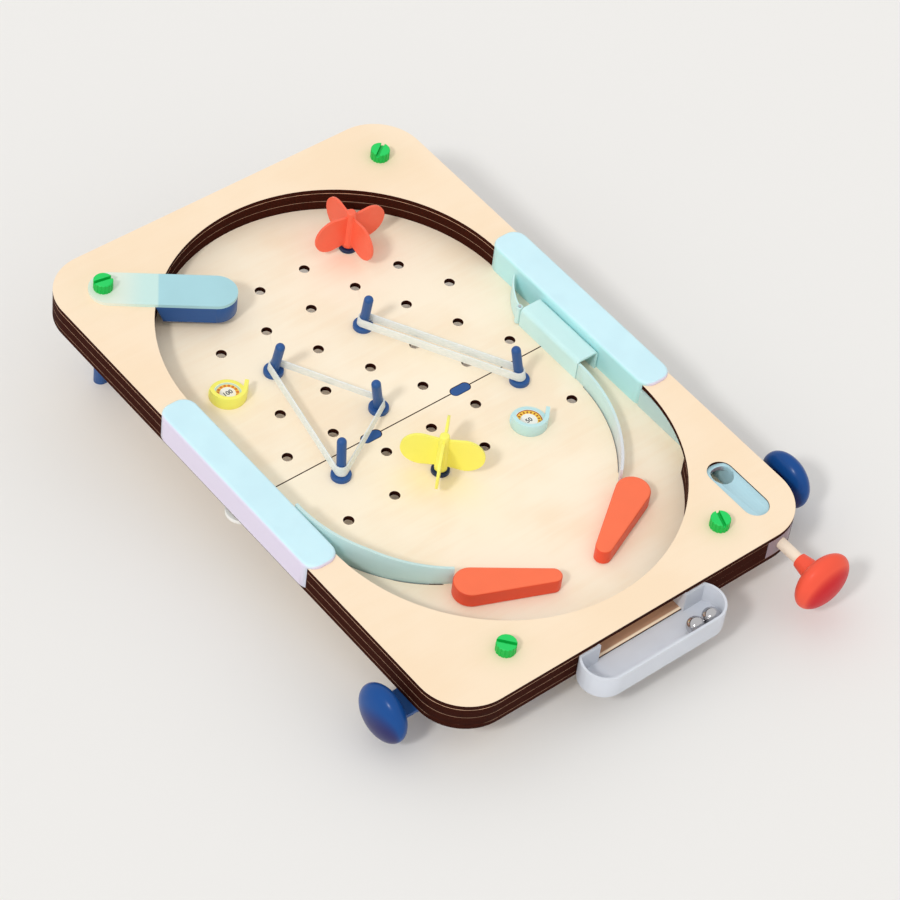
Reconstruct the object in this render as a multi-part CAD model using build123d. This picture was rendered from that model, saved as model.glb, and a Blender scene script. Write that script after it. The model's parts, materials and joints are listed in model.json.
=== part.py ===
from build123d import *
import math
import os

# Board frame used by every function below: X to the player's right, Y to the back,
# z = 0 on the top face of the playfield, origin on the seam between the two halves.
# All sizes are in millimetres. place() tilts the finished pieces and stands them on z = 0.

# Board outline and layers
BOARD_WIDTH = 240.0
BOARD_LENGTH = 360.0
CORNER_RADIUS = 28.0
PLAYFIELD_THICKNESS = 3.0
SPACER_THICKNESS = 6.0
COVER_THICKNESS = 3.0
RAIL_WIDTH = 17.5
SEAM_GAP = 0.3
TILT_DEG = 5.5

# Hole pattern of the playfield, rows counted from the front
HOLE_PITCH = 30.0
HOLE_DIAMETER = 5.6
HOLE_ROW_COUNTS = (6, 5, 6, 5, 6, 5, 4)
FIRST_ROW = -1.5
PLUG_CLEARANCE = 0.1

# Corner screws, legs and feet
REAR_SCREW_SIDE_INSET = 26.5
REAR_SCREW_INSET = 27.7
FRONT_SCREW_SIDE_INSET = 49.0
FRONT_SCREW_INSET = 22.0
SCREW_HEAD_DIAMETER = 10.7
SCREW_HEAD_HEIGHT = 6.0
SCREW_SHANK_DIAMETER = 5.0
SCREW_SLOT_WIDTH = 2.0
SCREW_SLOT_DEPTH = 2.0
SCREW_EDGE = 0.4
SCREW_KNURLS = 16
SCREW_KNURL_RADIUS = 0.45
SCREW_SLOT_DEG = (-10.0, 35.0, -50.0, 70.0)
SCREW_IN_FOOT = 12.0
SCREW_CLEARANCE = 0.15
FOOT_HEIGHT = 22.0
LEG_THICKNESS = 8.0
LEG_SPAN = 22.0

# Side clips, their nuts and the seam keys
CLIP_LENGTH = 131.0
CLIP_CORNER = 8.0
CLIP_WALL = 1.3
CLIP_TOP = 2.0
CLIP_EDGE = 1.8
CLIP_FIT = 0.1
CLIP_STUD_INSET = 6.0
CLIP_STUD_DIAMETER = 6.0
CLIP_STUD_CLEARANCE = 0.3
NUT_DIAMETER = 16.8
NUT_HEIGHT = 3.0
KEY_X = 30.0
KEY_LENGTH = 12.0
KEY_WIDTH = 5.4
KEY_CLEARANCE = 0.3
KEY_FLANGE = 2.0

# Ball
BALL_DIAMETER = 10.0

# Shooter lane: guides, tunnel, liner and gate
GUIDE_THICKNESS = 1.6
GUIDE_HEIGHT = 11.5
GUIDE_GROOVE_CLEARANCE = 0.2
GUIDE_JOIN_INSET = 1.1
GUIDE_JOIN_GAP = 0.3
RIGHT_GUIDE_END_OUT = 2.47
RIGHT_GUIDE_END_BACK = 12.29
RIGHT_GUIDE_BULGE = 7.96
LEFT_GUIDE_GAP = 2.6
LEFT_GUIDE_START_Y = -26.0
LEFT_GUIDE_END_OUT = 2.8
LEFT_GUIDE_END_BACK = 10.3
LEFT_GUIDE_BULGE = 12.00
LEFT_GUIDE_SLOPE_START = 0.5
LEFT_TONGUE = (0.36, 0.87)
RIGHT_TONGUE = (0.09, 0.89)
TUNNEL_WIDTH = 14.6
TUNNEL_SIDE_GAP = 2.0
TUNNEL_Y = (-28.5, 18.7)
TUNNEL_HEIGHT = 13.0
TUNNEL_WALL = 1.3
LANE_WIDTH = 13.7
LINER_THICKNESS = 1.3
GATE_PIVOT_INSET = 1.1
GATE_PIVOT_GAP = 2.5
GATE_TIP_GAP = 2.5
GATE_TIP_Y = 41.5
GATE_BULGE = 1.6
GATE_THICKNESS = 0.8
GATE_HEIGHT = 12.0
GATE_PIN_DIAMETER = 1.6
GATE_BARREL_DIAMETER = 3.6
GATE_LIFT = 0.5

# Launcher: slot in the cover, housing, plunger and spring. Insets run back from the front
# edge of the board, or inward from its right edge, and OUT sizes run forward from the front edge.
LAUNCH_SIDE_INSET = 23.9
SLOT_WIDTH = 14.8
SLOT_REAR_INSET = 48.6
SLOT_FRONT_INSET = 21.9
SLOT_CLEARANCE = 0.15
INSERT_TOP = 14.4
TROUGH_RADIUS = 14.0
TROUGH_DEPTH_FRONT = 0.5
TROUGH_DEPTH_REAR = 1.1
LOADING_HOLE_DIAMETER = 12.4
LOADING_HOLE_INSET = 47.4
HOUSING_WIDTH = 19.6
HOUSING_REAR_INSET = 57.8
CHAMBER_FLOOR_GAP = 0.1
BALL_ROOM = 10.6
ROD_Z = 6.0
ROD_DIAMETER = 6.2
RUNNING_CLEARANCE = 0.08
TIP_WALL_INSET = 38.5
TIP_WALL_THICKNESS = 2.3
TIP_REACH = 1.0
SPRING_ROOM_DIAMETER = 10.0
PISTON_DIAMETER = 9.2
PISTON_LENGTH = 4.0
PULL_TRAVEL = 20.0
KNOB_DIAMETER = 32.8
KNOB_HALF_THICKNESS = 8.2
KNOB_BACK = 6.6
KNOB_SOCKET_DEPTH = 6.0
KNOB_SEAT_CLEARANCE = 0.05
PLUNGER_KNOB_DIAMETER = 34.4
PLUNGER_KNOB_OUT = 30.9
PLUNGER_COLLAR_OUT = 14.0
PLUNGER_COLLAR_DIAMETERS = (8.4, 12.2)
PLUNGER_SPRING_RADIUS = 3.75
PLUNGER_SPRING_WIRE = 0.8
PLUNGER_SPRING_TURNS = 7

# Flippers and the push bars that swing them
FLIPPER_PIVOT_X = 54.0
FLIPPER_PIVOT_INSET = 68.7
FLIPPER_TIP_X = 16.9
FLIPPER_TIP_INSET = 48.3
FLIPPER_BIG_RADIUS = 9.3
FLIPPER_SMALL_RADIUS = 4.6
FLIPPER_BOTTOM = 0.6
FLIPPER_TOP = 9.6
FLIPPER_EDGE = 1.0
FLIPPER_SWING_DEG = 50.0
AXLE_DIAMETER = 6.0
AXLE_END_DIAMETER = 4.0
CRANK_THICKNESS = 3.0
CRANK_RADIUS = 8.9
CRANK_HUB_DIAMETER = 11.0
CRANK_ARM_WIDTH = 7.0
CRANK_GAP = 0.3
CRANK_PIN_DIAMETER = 4.0
CRANK_PIN_LENGTH = 4.2
PIN_CLEARANCE = 0.3
BAR_INSET = 36.1
BAR_Z = -3.7
BAR_RADIUS = 8.0
BAR_TOP_GAP = 0.3
BAR_INNER_X = 40.0
BAR_CLEARANCE = 0.3
KNOB_EDGE_GAP = 0.5
YOKE_THICKNESS = 3.9
YOKE_GAP = 0.6
YOKE_HALF_LENGTH = 6.0
BRACKET_INSETS = (41.0, 19.0)
BRACKET_WIDTH = 6.0
BRACKET_WALL = 3.2
BAR_SPRING_RADIUS = 3.0
BAR_SPRING_WIRE = 0.7
BAR_SPRING_TURNS = 8
BAR_SPRING_Z = -7.7
SPIGOT_DIAMETER = 4.0
SPIGOT_LENGTH = 3.0
ANCHOR_HALF_LENGTH = 20.0
ANCHOR_WIDTH = 14.0
ANCHOR_EAR = 3.0
ANCHOR_PLATE = 2.5
ANCHOR_DROP = 9.0
SPRING_SEAT_GAP = 0.3

# Drain slot and ball tray
DRAIN_HALF_WIDTH = 30.0
DRAIN_DEPTH = 30.0
TRAY_OUT = 9.0
TRAY_RADIUS = 13.0
TRAY_STRAIGHT = 64.0
TRAY_WALL = 1.3
TRAY_FLOOR = 2.2
TRAY_EDGE = 1.3
TRAY_DROP = 0.8
TRAY_BACK_GAP = 0.15
TRAY_EAR = 1.4
TRAY_EAR_REACH = 12.0
BALL_X = (24.2, 34.7)
BALL_OUT = 14.7
BALL_REST_GAP = 0.05

# Pegs and rubber bands. Each peg is (column, row, lean x, lean y) with the lean taken at its tip;
# columns and rows count hole pitches from the middle of the board.
PEG_HEIGHT = 26.0
PEG_DIAMETER = 5.2
PEG_BASE_DIAMETER = 11.0
PEG_BASE_HEIGHT = 2.6
PEG_BASE_EDGE = 0.6
PEGS_LEFT_BAND = ((-1.5, 2.5, -0.7, -4.7), (-0.5, 0.5, -5.0, -1.5), (-2, -0.5, 0.6, 2.7))
PEGS_RIGHT_BAND = ((0.5, 2.5, -0.7, -3.1), (2, -0.5, -3.5, 2.3))
BAND_THICKNESS = 1.0
BAND_BOTTOM = 2.9
BAND_HEIGHT = 6.2
BAND_CLEARANCE = 0.8

# Spinners
RED_SPINNER = (1.5, 4.5)
YELLOW_SPINNER = (-0.5, -1.5)
RED_SPINNER_DEG = -4.4
YELLOW_SPINNER_DEG = -46.8
SPINNER_HEIGHT = 27.5
SPINNER_LIFT = 2.5
SPINNER_VANES = 4
VANE_CENTRE = 11.5
VANE_RADIUS = 10.8
VANE_MIDDLE_Z = 14.6
VANE_ROOT_DROP = 1.4
VANE_THICKNESS = 1.4
HUB_BOTTOM_DIAMETER = 7.0
HUB_TOP_DIAMETER = 5.2
HUB_EDGE = 0.9
SPINNER_BASE_DIAMETER = 10.0
SPINNER_BASE_HEIGHT = 2.0
SPINNER_BASE_EDGE = 0.5
SPINNER_POST_DIAMETER = 3.0
SPINNER_POST_TOP = 24.0
SPINNER_POST_GAP = 0.3

# Score cups
YELLOW_CUP = (-2.5, 2.5)
BLUE_CUP = (1.5, -1.5)
CUP_DIAMETER = 20.2
CUP_WALL = 2.2
CUP_HEIGHT = 7.8
CUP_FLOOR = 1.6
CUP_WALL_START_DEG = 158.0
CUP_WALL_END_DEG = 315.0
CUP_TAIL = 6.3
LABEL_GAP = 0.3
LABEL_THICKNESS = 0.3

# Deflector over the rear left corner of the opening
DEFLECTOR_HALF_WIDTH = 11.5
DEFLECTOR_THICKNESS = 2.0
DEFLECTOR_END_INSET = 3.5
DEFLECTOR_HOLE = (-1.5, 4.5)
BLOCK_BOTTOM = 4.5
BLOCK_EDGE_GAP = 0.3
BLOCK_SLANT = 4.2
BLOCK_FOOT_DIAMETER = 8.0

# Values derived from the ones above
COVER_BOTTOM = 2 * SPACER_THICKNESS
COVER_TOP = COVER_BOTTOM + COVER_THICKNESS
BELOW = -PLAYFIELD_THICKNESS
ROW_PITCH = HOLE_PITCH * math.sqrt(3) / 2
OPENING_RADIUS = BOARD_WIDTH / 2 - RAIL_WIDTH
OPENING_CENTRE = BOARD_LENGTH / 2 - RAIL_WIDTH - OPENING_RADIUS
FRONT_Y = -BOARD_LENGTH / 2
REAR_SCREW_X = BOARD_WIDTH / 2 - REAR_SCREW_SIDE_INSET
REAR_SCREW_Y = BOARD_LENGTH / 2 - REAR_SCREW_INSET
FRONT_SCREW_X = BOARD_WIDTH / 2 - FRONT_SCREW_SIDE_INSET
FRONT_SCREW_Y = FRONT_Y + FRONT_SCREW_INSET
CLIP_STUD_X = BOARD_WIDTH / 2 - CLIP_STUD_INSET
CLIP_ROUND = CLIP_CORNER - math.sqrt(CLIP_CORNER**2 - (CLIP_CORNER - CLIP_WALL) ** 2)
CLIP_WALL_END = CLIP_LENGTH / 2 - CLIP_ROUND
TUNNEL_RIGHT = OPENING_RADIUS - TUNNEL_SIDE_GAP
TUNNEL_LEFT = TUNNEL_RIGHT - TUNNEL_WIDTH
LANE_LEFT = OPENING_RADIUS - LANE_WIDTH
GATE_PIVOT = (TUNNEL_LEFT + GATE_PIVOT_INSET, TUNNEL_Y[1] + GATE_PIVOT_GAP)
GATE_TIP = (OPENING_RADIUS - GATE_TIP_GAP, GATE_TIP_Y)
FLIPPER_PIVOT = (FLIPPER_PIVOT_X, FRONT_Y + FLIPPER_PIVOT_INSET)
FLIPPER_TIP = (FLIPPER_TIP_X, FRONT_Y + FLIPPER_TIP_INSET)
RIGHT_GUIDE_START = (TUNNEL_LEFT + GUIDE_JOIN_INSET, TUNNEL_Y[0] - GUIDE_JOIN_GAP)
RIGHT_GUIDE_END = (FLIPPER_PIVOT_X + RIGHT_GUIDE_END_OUT, FLIPPER_PIVOT[1] + RIGHT_GUIDE_END_BACK)
LEFT_GUIDE_START = (LEFT_GUIDE_GAP - OPENING_RADIUS, LEFT_GUIDE_START_Y)
LEFT_GUIDE_END = (-FLIPPER_PIVOT_X - LEFT_GUIDE_END_OUT, FLIPPER_PIVOT[1] + LEFT_GUIDE_END_BACK)
BRACKET_X = [BOARD_WIDTH / 2 - inset for inset in BRACKET_INSETS]
LAUNCH_X = BOARD_WIDTH / 2 - LAUNCH_SIDE_INSET
SLOT_REAR_Y = FRONT_Y + SLOT_REAR_INSET
SLOT_FRONT_Y = FRONT_Y + SLOT_FRONT_INSET
LOADING_HOLE_Y = FRONT_Y + LOADING_HOLE_INSET
HOUSING_REAR_Y = FRONT_Y + HOUSING_REAR_INSET
TIP_WALL_FRONT_Y = FRONT_Y + TIP_WALL_INSET
TIP_WALL_REAR_Y = TIP_WALL_FRONT_Y + TIP_WALL_THICKNESS
PISTON_FRONT_Y = TIP_WALL_FRONT_Y - PISTON_LENGTH
SPRING_SOLID_LENGTH = (PLUNGER_SPRING_TURNS + 1) * PLUNGER_SPRING_WIRE
SPRING_ROOM_FRONT_Y = PISTON_FRONT_Y - PULL_TRAVEL - SPRING_SOLID_LENGTH
PLUNGER_KNOB_Y = FRONT_Y - PLUNGER_KNOB_OUT
PLUNGER_COLLAR_Y = FRONT_Y - PLUNGER_COLLAR_OUT
TRAY_Y = FRONT_Y - TRAY_OUT
BAR_Y = FRONT_Y + BAR_INSET
PLUG_DIAMETER = HOLE_DIAMETER - 2 * PLUG_CLEARANCE
KNOB_RADIUS = KNOB_DIAMETER / 2
TILT = math.radians(TILT_DEG)
HALF_SWING = math.radians(FLIPPER_SWING_DEG / 2)
PUSH_TRAVEL = 2 * CRANK_RADIUS * math.sin(HALF_SWING)
KNOB_X = BOARD_WIDTH / 2 + KNOB_EDGE_GAP + PUSH_TRAVEL + KNOB_BACK
CRANK_TOP = BELOW - CRANK_GAP
CRANK_BOTTOM = CRANK_TOP - CRANK_THICKNESS
PIN_REST_X = FLIPPER_PIVOT[0] + CRANK_RADIUS * math.sin(HALF_SWING)
PIN_REST_Y = FLIPPER_PIVOT[1] - CRANK_RADIUS * math.cos(HALF_SWING)
BAR_TOP = BELOW - BAR_TOP_GAP


def peg_point(site):
    """Board position of a peg site given as its column and row."""
    return site[0] * HOLE_PITCH, site[1] * ROW_PITCH


def block(x0, x1, y0, y1, z0, z1):
    """A box between two corners."""
    return Pos((x0 + x1) / 2, (y0 + y1) / 2, (z0 + z1) / 2) * Box(x1 - x0, y1 - y0, z1 - z0)


def upright(x, y, radius, z0, z1):
    """A cylinder along Z."""
    return Pos(x, y, (z0 + z1) / 2) * Cylinder(radius, z1 - z0)


def along_y(x, z, radius, y0, y1):
    """A cylinder along Y."""
    return Pos(x, (y0 + y1) / 2, z) * Rot(90, 0, 0) * Cylinder(radius, y1 - y0)


def along_x(y, z, radius, x0, x1):
    """A cylinder along X."""
    return Pos((x0 + x1) / 2, y, z) * Rot(0, 90, 0) * Cylinder(radius, x1 - x0)


def pill(start, end, radius, z0, z1):
    """A stadium prism between two points."""
    dx = end[0] - start[0]
    dy = end[1] - start[1]
    turn = Rot(0, 0, math.degrees(math.atan2(dy, dx)))
    outline = SlotCenterToCenter(math.hypot(dx, dy), 2 * radius)
    middle = Pos((start[0] + end[0]) / 2, (start[1] + end[1]) / 2, z0)
    return middle * turn * extrude(outline, z1 - z0)


def hull_prism(circles, z0, z1):
    """A prism over the convex hull of circles given as (x, y, radius)."""
    edges = [(Pos(x, y, 0) * Circle(radius)).edge() for x, y, radius in circles]
    return Pos(0, 0, z0) * extrude(make_hull(edges), z1 - z0)


def arc_wall(centre, radius, thickness, start_deg, end_deg, z0, z1):
    """A thin wall that follows an arc."""
    sweep = end_deg - start_deg
    inner = CenterArc(centre, radius - thickness / 2, start_deg, sweep)
    outer = CenterArc(centre, radius + thickness / 2, start_deg, sweep)
    ends = [Line(inner @ 0, outer @ 0), Line(inner @ 1, outer @ 1)]
    return Pos(0, 0, z0) * extrude(make_face(Curve() + [inner, outer] + ends), z1 - z0)


def circle_through(a, b, c):
    """Centre, radius and the angles of the first and last of three points."""
    d = 2 * (a[0] * (b[1] - c[1]) + b[0] * (c[1] - a[1]) + c[0] * (a[1] - b[1]))
    aa = a[0] ** 2 + a[1] ** 2
    bb = b[0] ** 2 + b[1] ** 2
    cc = c[0] ** 2 + c[1] ** 2
    x = (aa * (b[1] - c[1]) + bb * (c[1] - a[1]) + cc * (a[1] - b[1])) / d
    y = (aa * (c[0] - b[0]) + bb * (a[0] - c[0]) + cc * (b[0] - a[0])) / d
    first = math.degrees(math.atan2(a[1] - y, a[0] - x)) % 360
    last = math.degrees(math.atan2(c[1] - y, c[0] - x)) % 360
    return (x, y), math.hypot(a[0] - x, a[1] - y), first, last


def bulged(start, end, bulge):
    """The point beside the middle of two others, to the left of the way between them."""
    dx = end[0] - start[0]
    dy = end[1] - start[1]
    length = math.hypot(dx, dy)
    return start[0] + dx / 2 - bulge * dy / length, start[1] + dy / 2 + bulge * dx / length


def slab(z0, z1):
    """The rounded outline of the board as a prism."""
    outline = RectangleRounded(BOARD_WIDTH, BOARD_LENGTH, CORNER_RADIUS)
    return Pos(0, 0, z0) * extrude(outline, z1 - z0)


def half(solid, rear):
    """One side of the seam."""
    reach = BOARD_LENGTH
    edge = SEAM_GAP / 2
    y0, y1 = (edge, reach) if rear else (-reach, -edge)
    return solid & block(-reach, reach, y0, y1, -reach, reach)


def opening(z0, z1):
    """The stadium opening of the frame layers."""
    return pill((0, -OPENING_CENTRE), (0, OPENING_CENTRE), OPENING_RADIUS, z0, z1)


def screw_points():
    """The four corner screws as (x, y)."""
    rear = [(-REAR_SCREW_X, REAR_SCREW_Y), (REAR_SCREW_X, REAR_SCREW_Y)]
    return rear + [(-FRONT_SCREW_X, FRONT_SCREW_Y), (FRONT_SCREW_X, FRONT_SCREW_Y)]


def fastening_holes(z0, z1):
    """Screw and clip stud holes through every layer."""
    radius = SCREW_SHANK_DIAMETER / 2 + SCREW_CLEARANCE
    holes = [upright(x, y, radius, z0, z1) for x, y in screw_points()]
    stud = CLIP_STUD_DIAMETER / 2 + CLIP_STUD_CLEARANCE
    return holes + [upright(side * CLIP_STUD_X, 0, stud, z0, z1) for side in (-1, 1)]


def hole_points():
    """The peg hole grid, rows from the front."""
    points = []
    for row, count in enumerate(HOLE_ROW_COUNTS):
        y = (FIRST_ROW + row) * ROW_PITCH
        points += [((i - (count - 1) / 2) * HOLE_PITCH, y) for i in range(count)]
    return points


def guide_arc(start, end, bulge):
    """Centre, radius, first angle and sweep of a guide."""
    centre, radius, first, last = circle_through(start, bulged(start, end, bulge), end)
    return centre, radius, first, (last - first + 180) % 360 - 180


def left_guide_arc():
    """The left guide from the clip to the flipper."""
    return guide_arc(LEFT_GUIDE_START, LEFT_GUIDE_END, -LEFT_GUIDE_BULGE)


def right_guide_arc():
    """The right guide from the tunnel to the flipper."""
    return guide_arc(RIGHT_GUIDE_START, RIGHT_GUIDE_END, RIGHT_GUIDE_BULGE)


def guide_wall(arc, shares, extra, z0, z1):
    """A stretch of a guide between two shares of its sweep, grown by extra all round."""
    centre, radius, first, sweep = arc
    slack = math.degrees(extra / radius)
    ends = sorted(first + sweep * share for share in shares)
    thickness = GUIDE_THICKNESS + 2 * extra
    return arc_wall(centre, radius, thickness, ends[0] - slack, ends[1] + slack, z0, z1)


def guide_tongues(extra, z0, z1):
    """The feet of both guides, widened by extra on each side for their grooves."""
    left = guide_wall(left_guide_arc(), LEFT_TONGUE, extra, z0, z1)
    return left, guide_wall(right_guide_arc(), RIGHT_TONGUE, extra, z0, z1)


def playfield():
    """The bottom layer with its hole grid, grooves and bores."""
    z0 = BELOW - 1
    cuts = [upright(x, y, HOLE_DIAMETER / 2, z0, 1) for x, y in hole_points()]
    cuts += fastening_holes(z0, 1)
    cuts += guide_tongues(GUIDE_GROOVE_CLEARANCE, z0, 1)
    radius = AXLE_DIAMETER / 2 + RUNNING_CLEARANCE
    for side in (-1, 1):
        cuts.append(upright(side * FLIPPER_PIVOT[0], FLIPPER_PIVOT[1], radius, z0, 1))
        cuts.append(key_prism(side, KEY_CLEARANCE, z0, 1))
    pin = GATE_PIN_DIAMETER / 2 + PLUG_CLEARANCE
    cuts.append(upright(GATE_PIVOT[0], GATE_PIVOT[1], pin, z0, 1))
    return slab(BELOW, 0) - cuts


def drain_slot(z0, z1):
    """The passage under the cover from the opening to the tray."""
    return block(-DRAIN_HALF_WIDTH, DRAIN_HALF_WIDTH, FRONT_Y - 1, FRONT_Y + DRAIN_DEPTH, z0, z1)


def spacer(z0):
    """One of the two frame layers between playfield and cover."""
    low = z0 - 1
    high = z0 + SPACER_THICKNESS + 1
    reach = HOUSING_WIDTH / 2 + SLOT_CLEARANCE
    rear = HOUSING_REAR_Y + SLOT_CLEARANCE
    cuts = [opening(low, high), drain_slot(low, high)]
    cuts.append(block(LAUNCH_X - reach, LAUNCH_X + reach, FRONT_Y - 1, rear, low, high))
    cuts.append(block(LANE_LEFT, OPENING_RADIUS, HOUSING_REAR_Y - 1, -OPENING_CENTRE, low, high))
    cuts += fastening_holes(low, high)
    return slab(z0, z0 + SPACER_THICKNESS) - cuts


def top_cover():
    """The thin top frame with the launcher slot."""
    low = COVER_BOTTOM - 1
    high = COVER_TOP + 1
    slot = pill((LAUNCH_X, SLOT_FRONT_Y), (LAUNCH_X, SLOT_REAR_Y), SLOT_WIDTH / 2, low, high)
    cuts = [opening(low, high), slot]
    return slab(COVER_BOTTOM, COVER_TOP) - cuts - fastening_holes(low, high)


def key_prism(side, extra, z0, z1):
    """The outline of one seam key, grown by extra all round."""
    run = (KEY_LENGTH - KEY_WIDTH) / 2
    start = (side * KEY_X - run, 0)
    end = (side * KEY_X + run, 0)
    return pill(start, end, KEY_WIDTH / 2 + extra, z0, z1)


def seam_keys():
    """Two keys across the seam, each with a flange below the playfield."""
    keys = Part()
    for side in (-1, 1):
        keys += key_prism(side, 0, BELOW, 0)
        keys += key_prism(side, KEY_FLANGE, BELOW - KEY_FLANGE, BELOW)
    return keys


def side_clip(side):
    """A channel over the rail that holds the two halves together, with a stud through the seam."""
    inner = OPENING_RADIUS - CLIP_FIT - CLIP_WALL
    outer = BOARD_WIDTH / 2 + CLIP_FIT + CLIP_WALL
    ends = CLIP_LENGTH / 2
    outline = RectangleRounded(outer - inner, CLIP_LENGTH, CLIP_CORNER)
    clip = Pos((inner + outer) / 2, 0, 0) * extrude(outline, COVER_TOP + CLIP_TOP)
    clip = fillet(clip.edges().group_by(Axis.Z)[-1], CLIP_EDGE)
    clip -= block(inner + CLIP_WALL, outer - CLIP_WALL, -ends - 1, ends + 1, -1, COVER_TOP)
    clip += upright(CLIP_STUD_X, 0, CLIP_STUD_DIAMETER / 2, BELOW - NUT_HEIGHT, COVER_TOP)
    return clip if side > 0 else mirror(clip, Plane.YZ)


def seam_nuts():
    """The round nuts on the clip studs, below the board."""
    nuts = Part()
    for side in (-1, 1):
        nut = upright(side * CLIP_STUD_X, 0, NUT_DIAMETER / 2, BELOW - NUT_HEIGHT, BELOW)
        nut = fillet(nut.edges().group_by(Axis.Z)[0], NUT_HEIGHT / 3)
        bore = CLIP_STUD_DIAMETER / 2 + PLUG_CLEARANCE
        nuts += nut - upright(side * CLIP_STUD_X, 0, bore, BELOW - NUT_HEIGHT - 1, 0)
    return nuts


def corner_screws():
    """Four slotted and knurled screws; the one through the deflector arm sits higher."""
    screws = Part()
    radius = SCREW_HEAD_DIAMETER / 2
    for x, y in screw_points():
        base = COVER_TOP
        if x < 0 < y:
            base += DEFLECTOR_THICKNESS
        top = base + SCREW_HEAD_HEIGHT
        head = upright(x, y, radius, base, top)
        head = chamfer(head.edges().group_by(Axis.Z)[-1], SCREW_EDGE)
        reach = radius + SCREW_KNURL_RADIUS / 3
        for i in range(SCREW_KNURLS):
            turn = 2 * math.pi * i / SCREW_KNURLS
            knurl_x = x + reach * math.cos(turn)
            knurl_y = y + reach * math.sin(turn)
            head -= upright(knurl_x, knurl_y, SCREW_KNURL_RADIUS, base, top)
        cut = Box(SCREW_HEAD_DIAMETER + 2, SCREW_SLOT_WIDTH, 2 * SCREW_SLOT_DEPTH)
        head -= Pos(x, y, top) * Rot(0, 0, SCREW_SLOT_DEG[screw_points().index((x, y))]) * cut
        screws += head + upright(x, y, SCREW_SHANK_DIAMETER / 2, BELOW - SCREW_IN_FOOT, base)
    return screws


def floor_z(y):
    """Height of the table in the board frame."""
    return BELOW - FOOT_HEIGHT - math.tan(TILT) * (y - FRONT_SCREW_Y)


def above_floor(solid):
    """Cut a leg flat where it meets the table."""
    reach = BOARD_LENGTH
    keep = Pos(0, FRONT_SCREW_Y, floor_z(FRONT_SCREW_Y)) * Rot(-TILT_DEG, 0, 0)
    return solid & (keep * Pos(0, 0, reach) * Box(2 * reach, 4 * reach, 2 * reach))


def leg_pair(x, y):
    """Two blades under the screws, reaching inward."""
    legs = Part()
    bore = SCREW_SHANK_DIAMETER / 2 + PLUG_CLEARANCE
    low = floor_z(y) - LEG_THICKNESS
    for side in (-1, 1):
        leg = pill((side * x, y), (side * (x - LEG_SPAN), y), LEG_THICKNESS / 2, low, BELOW)
        leg = above_floor(leg)
        legs += leg - upright(side * x, y, bore, BELOW - SCREW_IN_FOOT - 1, BELOW + 1)
    return legs


def deflector_line():
    """Ends of the deflector: the rear left screw and its peg hole."""
    return (-REAR_SCREW_X, REAR_SCREW_Y), peg_point(DEFLECTOR_HOLE)


def deflector_arm():
    """The clear strip on top of the cover."""
    start, end = deflector_line()
    share = DEFLECTOR_END_INSET / math.hypot(end[0] - start[0], end[1] - start[1])
    first = (start[0] + (end[0] - start[0]) * share, start[1] + (end[1] - start[1]) * share)
    arm = pill(first, end, DEFLECTOR_HALF_WIDTH, COVER_TOP, COVER_TOP + DEFLECTOR_THICKNESS)
    hole = SCREW_SHANK_DIAMETER / 2 + SCREW_CLEARANCE
    return arm - upright(start[0], start[1], hole, COVER_TOP - 1, COVER_TOP + DEFLECTOR_THICKNESS + 1)


def deflector_block():
    """The block under the arm, its far end following the wall of the opening."""
    start, end = deflector_line()
    body = pill(start, end, DEFLECTOR_HALF_WIDTH, BLOCK_BOTTOM, COVER_TOP)
    top = OPENING_RADIUS - BLOCK_EDGE_GAP
    cone = Cone(top - BLOCK_SLANT, top, COVER_TOP - BLOCK_BOTTOM)
    body &= Pos(0, OPENING_CENTRE, (COVER_TOP + BLOCK_BOTTOM) / 2) * cone
    foot = upright(end[0], end[1], BLOCK_FOOT_DIAMETER / 2, 0, BLOCK_BOTTOM)
    plug = upright(end[0], end[1], PLUG_DIAMETER / 2, BELOW, 0)
    return body + foot + plug


def left_guide():
    """Curved wall from the left clip to the left flipper, as high as the clip and lower at its end."""
    centre, radius, first, sweep = left_guide_arc()
    high = COVER_TOP + CLIP_TOP
    wall = guide_wall(left_guide_arc(), (0, 1), 0, 0, high)
    turn = math.radians(first + sweep * LEFT_GUIDE_SLOPE_START)
    x = centre[0] + radius * math.cos(turn)
    y = centre[1] + radius * math.sin(turn)
    dx = LEFT_GUIDE_END[0] - x
    dy = LEFT_GUIDE_END[1] - y
    fall = math.degrees(math.atan2(high - GUIDE_HEIGHT, math.hypot(dx, dy)))
    cut = Pos(0, 0, radius) * Box(2 * radius, 2 * radius, 2 * radius)
    wall -= Pos(x, y, high) * Rot(0, 0, math.degrees(math.atan2(dy, dx))) * Rot(0, fall, 0) * cut
    return wall + guide_tongues(0, BELOW, 0)[0]


def right_guide():
    """Curved wall from the tunnel to the right flipper."""
    return guide_wall(right_guide_arc(), (0, 1), 0, 0, GUIDE_HEIGHT) + guide_tongues(0, BELOW, 0)[1]


def lane_tunnel():
    """Roofed stretch of the lane."""
    x0, x1 = TUNNEL_LEFT, TUNNEL_RIGHT
    y0, y1 = TUNNEL_Y
    shell = block(x0, x1, y0, y1, 0, TUNNEL_HEIGHT)
    shell = fillet(shell.edges().filter_by(Axis.Y).group_by(Axis.Z)[-1], 2 * TUNNEL_WALL)
    room = block(x0 + TUNNEL_WALL, x1 - TUNNEL_WALL, y0 - 1, y1 + 1, -1, TUNNEL_HEIGHT - TUNNEL_WALL)
    room = fillet(room.edges().filter_by(Axis.Y).group_by(Axis.Z)[-1], TUNNEL_WALL)
    return shell - room


def lane_liner():
    """Lining on the right side of the lane, between the clip and the launcher."""
    y0 = HOUSING_REAR_Y + SEAM_GAP
    y1 = -CLIP_WALL_END - SEAM_GAP
    liner = block(OPENING_RADIUS - LINER_THICKNESS, OPENING_RADIUS, y0, y1, 0, COVER_BOTTOM)
    return liner


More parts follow.
